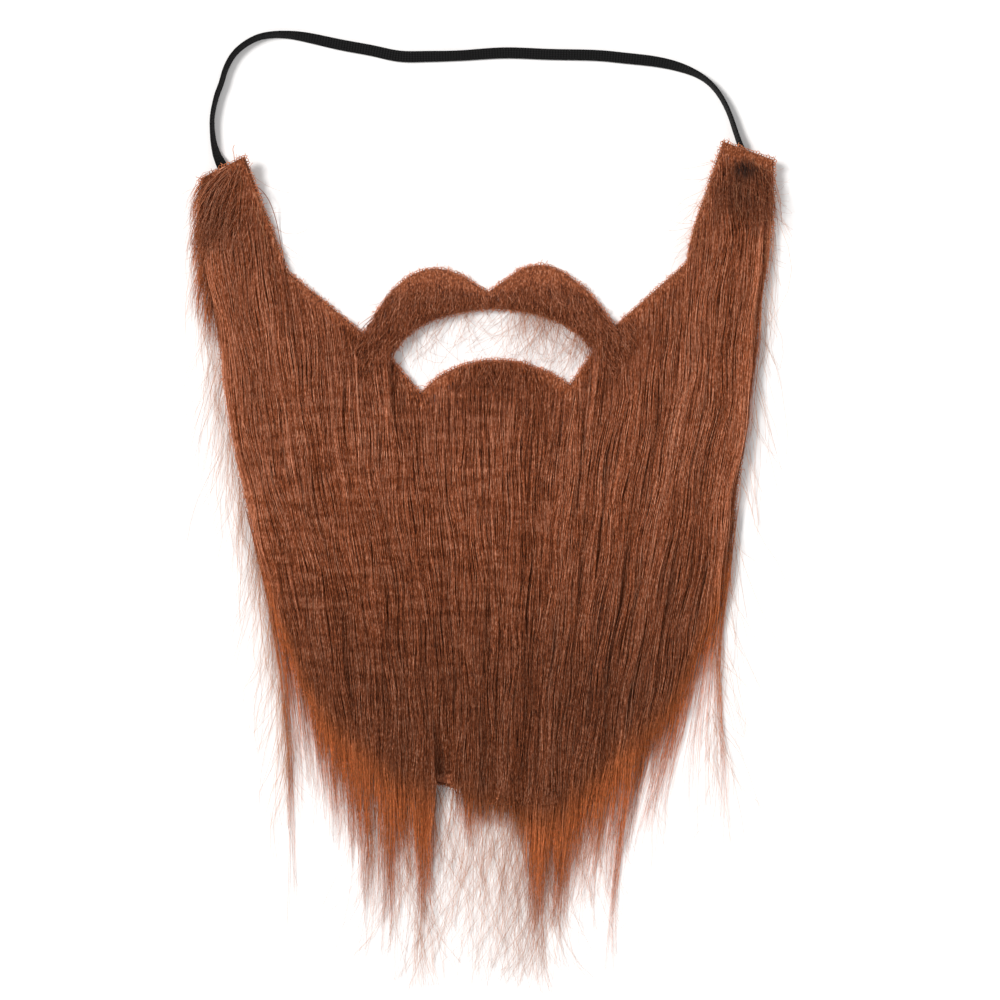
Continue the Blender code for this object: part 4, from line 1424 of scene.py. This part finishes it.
class BEARD_OT_loose_hair(bpy.types.Operator):
    """Add wisps among the tips, stray hairs at the sides and a few across the mouth"""

    bl_idname = "beard.loose_hair"
    bl_label = "Loose hair"

    MOUTH_HAIRS = 330
    TAB_HAIRS = 300

    def wisps(self, rng, size):
        """Long single hairs that run on below the locks."""
        share, pick = rng.uniform(0.005, 0.995, size), rng.random(size)
        share = np.where(pick < 0.26, rng.normal(0.29, 0.08, size), share)
        share = np.where(pick > 0.68, rng.normal(0.66, 0.11, size), share)
        lock = COMB.lock_of(share)
        up = COMB.tip[lock] + rng.uniform(0.0, 0.080, size)
        up = np.minimum(up, COMB.hem_at(share) - 0.001)
        across = COMB.run(share, up, lock, rng.uniform(-0.3, 0.5, size))
        middle = 1.0 - 2.0 * np.abs(share - 0.5)
        angle = -0.45 * (share - 0.4) + rng.normal(0.0, 0.20, size)
        length = rng.uniform(0.018, 0.058, size) * (0.8 + 0.9 * middle)
        length = np.minimum(length, (up - LOWEST) * rng.uniform(0.85, 0.99, size))
        heights = rng.uniform(0.0004, 0.0030, size), rng.uniform(0.0003, 0.0020, size)
        return loose_paths(rng, across, up, angle, length, rng.normal(0.0, 0.45, size), heights)

    def strays(self, rng, size):
        """Hairs that lean out of both sides."""
        right_side = rng.random(size) < 0.34
        up = rng.uniform(-CLOTH_DROP * 0.9, np.where(right_side, 0.074, 0.060))
        inner = rng.uniform(0.0, 0.015, size)
        across = COMB.flow(np.where(right_side, 1.0 - inner, inner), up)
        outward = np.where(right_side, 1.0, -1.0)
        angle = outward * np.abs(rng.normal(0.06, np.where(right_side, 0.30, 0.16)))
        length = rng.uniform(0.012, 0.055, size)
        start_height = tab_lift(across, up) + rng.uniform(0.0006, 0.0045, size)
        heights = start_height, rng.uniform(0.0003, 0.0030, size)
        bend = -outward * rng.uniform(-0.5, 0.9, size)
        return loose_paths(rng, across, up, angle, length, bend, heights)

    def mouth_hairs(self, rng, size):
        """Hairs that hang and cross over the mouth opening."""
        across = FACE_OFFSET + rng.uniform(-0.036, 0.042, size)
        across = np.where(rng.random(size) < 0.55, rng.uniform(0.010, 0.044, size), across)
        up = 0.0215 - 9.0 * (across - FACE_OFFSET) ** 2 + rng.uniform(0.0, 0.003, size)
        angle = rng.normal(-0.1, 0.45, size)
        length = rng.uniform(0.006, 0.032, size)
        heights = rng.uniform(0.002, 0.004, size), rng.uniform(0.0004, 0.0030, size)
        return loose_paths(rng, across, up, angle, length, rng.normal(0.0, 0.9, size), heights)

    def tab_hairs(self, rng, size):
        """Fine hairs that stand out round the tab ends."""
        right_side = rng.random(size) < 0.65
        across = np.where(right_side, rng.uniform(0.078, 0.114, size),
                          rng.uniform(-0.113, -0.086, size))
        up = np.where(right_side, rng.uniform(0.045, 0.084, size),
                      rng.uniform(0.040, 0.078, size))
        within = inside(CLOTH_EDGE, across, up)
        across, up, right_side = keep(within, across, up, right_side)
        size = across.shape
        middle = np.where(right_side, 0.096, -0.100)
        angle = np.sign(across - middle) * rng.uniform(0.2, 1.3, size)
        length = rng.uniform(0.008, 0.026, size)
        lift = tab_lift(across, up)
        heights = lift + 0.003, lift * 0.6 + rng.uniform(0.001, 0.007, size)
        return loose_paths(rng, across, up, angle, length, rng.normal(0.0, 0.9, size), heights)

    def execute(self, context):
        settings = context.scene.beard_hair
        rng = np.random.default_rng(settings.seed + 3)
        groups = (
            ("wisps", self.wisps(rng, (settings.wisp_count, 1)), 0.29, 0.60),
            ("side_strays", self.strays(rng, (settings.stray_count, 1)), 0.34, 0.80),
            ("mouth_strays", self.mouth_hairs(rng, (self.MOUTH_HAIRS, 1)), 0.32, 0.45),
            ("tab_strays", self.tab_hairs(rng, (self.TAB_HAIRS, 1)), 0.36, 0.80),
        )
        for name, paths, thickness, tip in groups:
            paths = in_view(name, paths)
            count, rings = paths.shape[:2]
            half = 0.65 * settings.thickness * thickness * rng.uniform(0.7, 1.2, (count, 1))
            half = half * (1.0 - 0.5 * along(rings))
            tone = tones(rng, count, 0.62, 0.2, 0.1)
            tubes(name, paths, half, (tone, tip, 1.0), hair_material("loose_hair"))
        return {"FINISHED"}


class BEARD_OT_tab_hair(bpy.types.Operator):
    """Add the swept hair on the left tab and the strands drawn into the seam of the right one"""

    bl_idname = "beard.tab_hair"
    bl_label = "Tab hair"

    LEFT_COUNT = 1500
    RIGHT_COUNT = 420

    @staticmethod
    def clumps(across, up):
        """How strands of the left tab clump, around 0."""
        return ripple(across - 0.8 * up, 51, 60.0, 260.0)

    def swept(self, rng, size):
        """Strands that run from the upper right to the lower left and then turn down."""
        across = rng.uniform(-0.1115, -0.084, size)
        up = rng.uniform(0.034, 0.0795, size)
        across, up = keep(inside(CLOTH_EDGE, across, up), across, up)
        size = across.shape
        slant = smooth((up - 0.030) / 0.030)
        angle = -slant * rng.uniform(0.55, 1.35, size) + rng.normal(0, 0.18, size)
        room = (across + 0.1180) / np.maximum(np.sin(-angle), 0.15)
        length = np.clip(room * rng.uniform(0.9, 1.6, size), 0.006, 0.030)
        bend = -angle * rng.uniform(0.85, 1.15, size)
        lift = tab_lift(across, up)
        clump = 0.0012 * np.clip(self.clumps(across, up), -1.5, 1.5)
        heights = lift + 0.0026, (
            lift * 0.45 + 0.0052 + clump + rng.uniform(-0.0008, 0.0008, size))
        return loose_paths(rng, across, up, angle, length, bend, heights)

    def drawn_in(self, rng, size):
        """Strands of the right tab that start round the seam's dent and run down."""
        turn = rng.uniform(0.0, FULL_TURN, size)
        far = rng.uniform(0.0040, 0.0110, size)
        across = DIMPLE[0] + np.cos(turn) * far
        up = DIMPLE[1] + np.sin(turn) * far * 0.7
        across, up, far = keep(inside(CLOTH_EDGE, across, up), across, up, far)
        angle = np.clip((across - DIMPLE[0]) / 0.012, -1.0, 0.2) * 0.4
        angle = angle + rng.normal(0.0, 0.12, across.shape)
        length = rng.uniform(0.010, 0.026, across.shape)
        lift = tab_lift(across, up)
        heights = lift + 0.0016 + 0.10 * far, lift * 0.5 + 0.0052
        return loose_paths(rng, across, up, angle, length, -angle * 0.8, heights)

    def execute(self, context):
        settings = context.scene.beard_hair
        rng = np.random.default_rng(settings.seed + 4)
        groups = (("left_tab_hair", self.swept(rng, (self.LEFT_COUNT, 1)), 0.50),
                  ("right_tab_hair", self.drawn_in(rng, (self.RIGHT_COUNT, 1)), 0.40))
        for name, paths, mean in groups:
            paths = in_view(name, paths)
            count, rings = paths.shape[:2]
            across, up = paths[..., 0], paths[..., 1]
            clump = self.clumps(across[:, :1], up[:, :1])
            tone = tones(rng, count, mean, 0.14, shift=0.15 * clump)
            # The outer edge of the left tab takes the tip colour, painted brighter for light
            # through thin hair; the strands round the right tab's seam take its painted shade, on
            # a random brightness.
            outer = COMB.flow(0.0, up) + 0.004 - across
            painted_shading = rng.uniform(0.62, 0.94, (count, 1)) * painted_seam_shade(across, up)
            half = 0.42 * settings.thickness * rng.uniform(0.6, 1.15, (count, 1))
            half = half * pointed(along(rings), 0.5, 0.7)
            tubes(name, paths, half, (tone, 0.75 * smooth(outer / 0.006), painted_shading),
                  hair_material("combed_brown_hair"))
        return {"FINISHED"}


class BEARD_OT_cut_edges(bpy.types.Operator):
    """Add short fuzz and cut yarn loops along the edges of the cloth"""

    bl_idname = "beard.cut_edges"
    bl_label = "Cut edges"

    MOUTH_SHARE = 0.24
    FUZZ_RINGS = 4
    FUZZ_HALF = 0.00010
    LOOP_RINGS = 6
    # Share of the tip colour on the fuzz and loops, partly painted light through thin hair.
    TIP_COLOUR = 0.45

    def fuzz(self, rng, outline, count, side):
        """Short hairs that stand out from an edge, to one side of it."""
        points, _, outwards = evenly(outline, 0.0004)
        pick = rng.integers(0, len(points), count)
        start, out = points[pick], outwards[pick] * side
        size = (count, 1)
        angle = np.arctan2(out[:, :1], -out[:, 1:]) + rng.normal(0.0, 0.75, size)
        length = rng.uniform(0.0010, 0.0030, size) * rng.uniform(0.5, 1.2, size)
        height = start[:, 2:] + rng.uniform(-0.0008, 0.0022, size)
        inner = start[:, :2] - out * 0.0008
        bend = rng.normal(0.0, 0.8, size)
        heights = height, height + rng.uniform(-0.0003, 0.0006, size)
        return loose_paths(rng, inner[:, :1], inner[:, 1:], angle, length, bend, heights,
                           self.FUZZ_RINGS)

    def loops(self, rng, outline, spacing, side):
        """Small arcs of yarn on an edge."""
        points, ahead, outwards = evenly(outline, spacing)
        size = (len(points), 1)
        radius = rng.uniform(0.00040, 0.00085, size)
        turn = math.pi * along(self.LOOP_RINGS)
        x = -np.cos(turn) * radius
        y = np.sin(turn) * radius * rng.uniform(0.8, 1.5, size) - 0.0001
        out = outwards * side
        across, up = (points[:, axis, None] + ahead[:, axis, None] * x + out[:, axis, None] * y
                      for axis in (0, 1))
        return path_points(across, up, points[:, 2:] + rng.uniform(-0.0009, 0.0020, size))

    def execute(self, context):
        hair, cloth = context.scene.beard_hair, context.scene.beard_cloth
        rng = np.random.default_rng(hair.seed + 5)
        outer = int(cloth.fuzz_count * (1.0 - self.MOUTH_SHARE))
        fuzz = np.concatenate([
            self.fuzz(rng, CLOTH_EDGE, outer, 1.0),
            self.fuzz(rng, MOUTH_EDGE, cloth.fuzz_count - outer, -1.0)])
        tone = tones(rng, len(fuzz), 0.70, 0.2, 0.1)
        half = self.FUZZ_HALF * rng.uniform(0.7, 1.3, fuzz.shape[:2])
        tubes("edge_fuzz", fuzz, half, (tone, self.TIP_COLOUR, 1.0), hair_material("edge_hair"))
        loops = np.concatenate([
            self.loops(rng, CLOTH_EDGE, cloth.loop_spacing, 1.0),
            self.loops(rng, MOUTH_EDGE, cloth.loop_spacing, -1.0)])
        tone = tones(rng, len(loops), 0.66, 0.18, 0.2)
        tubes("edge_loops", loops, 0.5 * cloth.yarn, (tone, self.TIP_COLOUR, 1.0),
              hair_material("edge_hair"))
        return {"FINISHED"}


class BEARD_OT_stitches(bpy.types.Operator):
    """Add the sewing thread on the left tab and the loose yarn beside it"""

    bl_idname = "beard.stitches"
    bl_label = "Stitches"

    # Runs of thread. Columns: across, up, height above the lifted tab.
    PALE_STITCH = ((-0.1058, 0.0754, 0.0030), (-0.1050, 0.0758, 0.0040),
                   (-0.1042, 0.0763, 0.0040), (-0.1034, 0.0766, 0.0030))
    PALE_END = ((-0.0998, 0.0790, 0.0020), (-0.0999, 0.0812, 0.0036),
                (-0.1003, 0.0834, 0.0036), (-0.0998, 0.0852, 0.0026))
    LOOSE_YARN = ((-0.0922, 0.0692, 0.0030), (-0.0894, 0.0676, 0.0034),
                  (-0.0862, 0.0632, 0.0026), (-0.0836, 0.0556, 0.0012),
                  (-0.0815, 0.0448, 0.0008), (-0.0802, 0.0392, 0.0010))
    # Columns: name, run, half thickness, tone, tip colour.
    THREADS = (("pale_stitch", PALE_STITCH, 0.00022, 0.95, 0.0),
               ("pale_thread_end", PALE_END, 0.00014, 0.75, 0.2),
               ("loose_yarn", LOOSE_YARN, 0.00016, 0.25, 0.0))
    RINGS = 28
    SIDES = 6

    def execute(self, context):
        for name, rows, half, tone, tip in self.THREADS:
            across, up, height = smooth_route(rows, self.RINGS).T
            path = np.stack([across, up, height + tab_lift(across, up)], axis=1)
            tubes(name, path[None], half, (tone, tip, 1.0), hair_material("edge_hair"),
                  ring(self.SIDES))
        return {"FINISHED"}


class BEARD_PT_panel(bpy.types.Panel):
    """Lists the steps that dress the beard"""

    bl_idname = "BEARD_PT_panel"
    bl_label = "Costume Beard"
    bl_space_type = "VIEW_3D"
    bl_region_type = "UI"
    bl_category = "Beard"

    def draw(self, context):
        for operator in OPERATORS:
            self.layout.operator(operator.bl_idname)


SETTINGS = (("beard_studio", StudioSettings), ("beard_hair", HairSettings),
            ("beard_cloth", ClothSettings), ("beard_strap", StrapSettings))
OPERATORS = (BEARD_OT_studio, BEARD_OT_strap, BEARD_OT_cloth, BEARD_OT_root_mat,
             BEARD_OT_underlayer, BEARD_OT_body_hair, BEARD_OT_root_hair,
             BEARD_OT_moustache_hair, BEARD_OT_tab_hair, BEARD_OT_fringe, BEARD_OT_loose_hair,
             BEARD_OT_cut_edges, BEARD_OT_stitches)


def register():
    for name, group in SETTINGS:
        bpy.utils.register_class(group)
        setattr(bpy.types.Scene, name, PointerProperty(type=group))
    for item in OPERATORS:
        bpy.utils.register_class(item)
    bpy.utils.register_class(BEARD_PT_panel)


def unregister():
    bpy.utils.unregister_class(BEARD_PT_panel)
    for item in reversed(OPERATORS):
        bpy.utils.unregister_class(item)
    for name, group in reversed(SETTINGS):
        delattr(bpy.types.Scene, name)
        bpy.utils.unregister_class(group)


def main():
    """Dress the beard step by step."""
    register()
    bpy.ops.beard.studio()
    bpy.ops.beard.strap()
    bpy.ops.beard.cloth()
    bpy.ops.beard.root_mat()
    bpy.ops.beard.underlayer()
    bpy.ops.beard.body_hair()
    bpy.ops.beard.root_hair()
    bpy.ops.beard.moustache_hair()
    bpy.ops.beard.tab_hair()
    bpy.ops.beard.fringe()
    bpy.ops.beard.loose_hair()
    bpy.ops.beard.cut_edges()
    bpy.ops.beard.stitches()


if __name__ == "__main__":
    main()
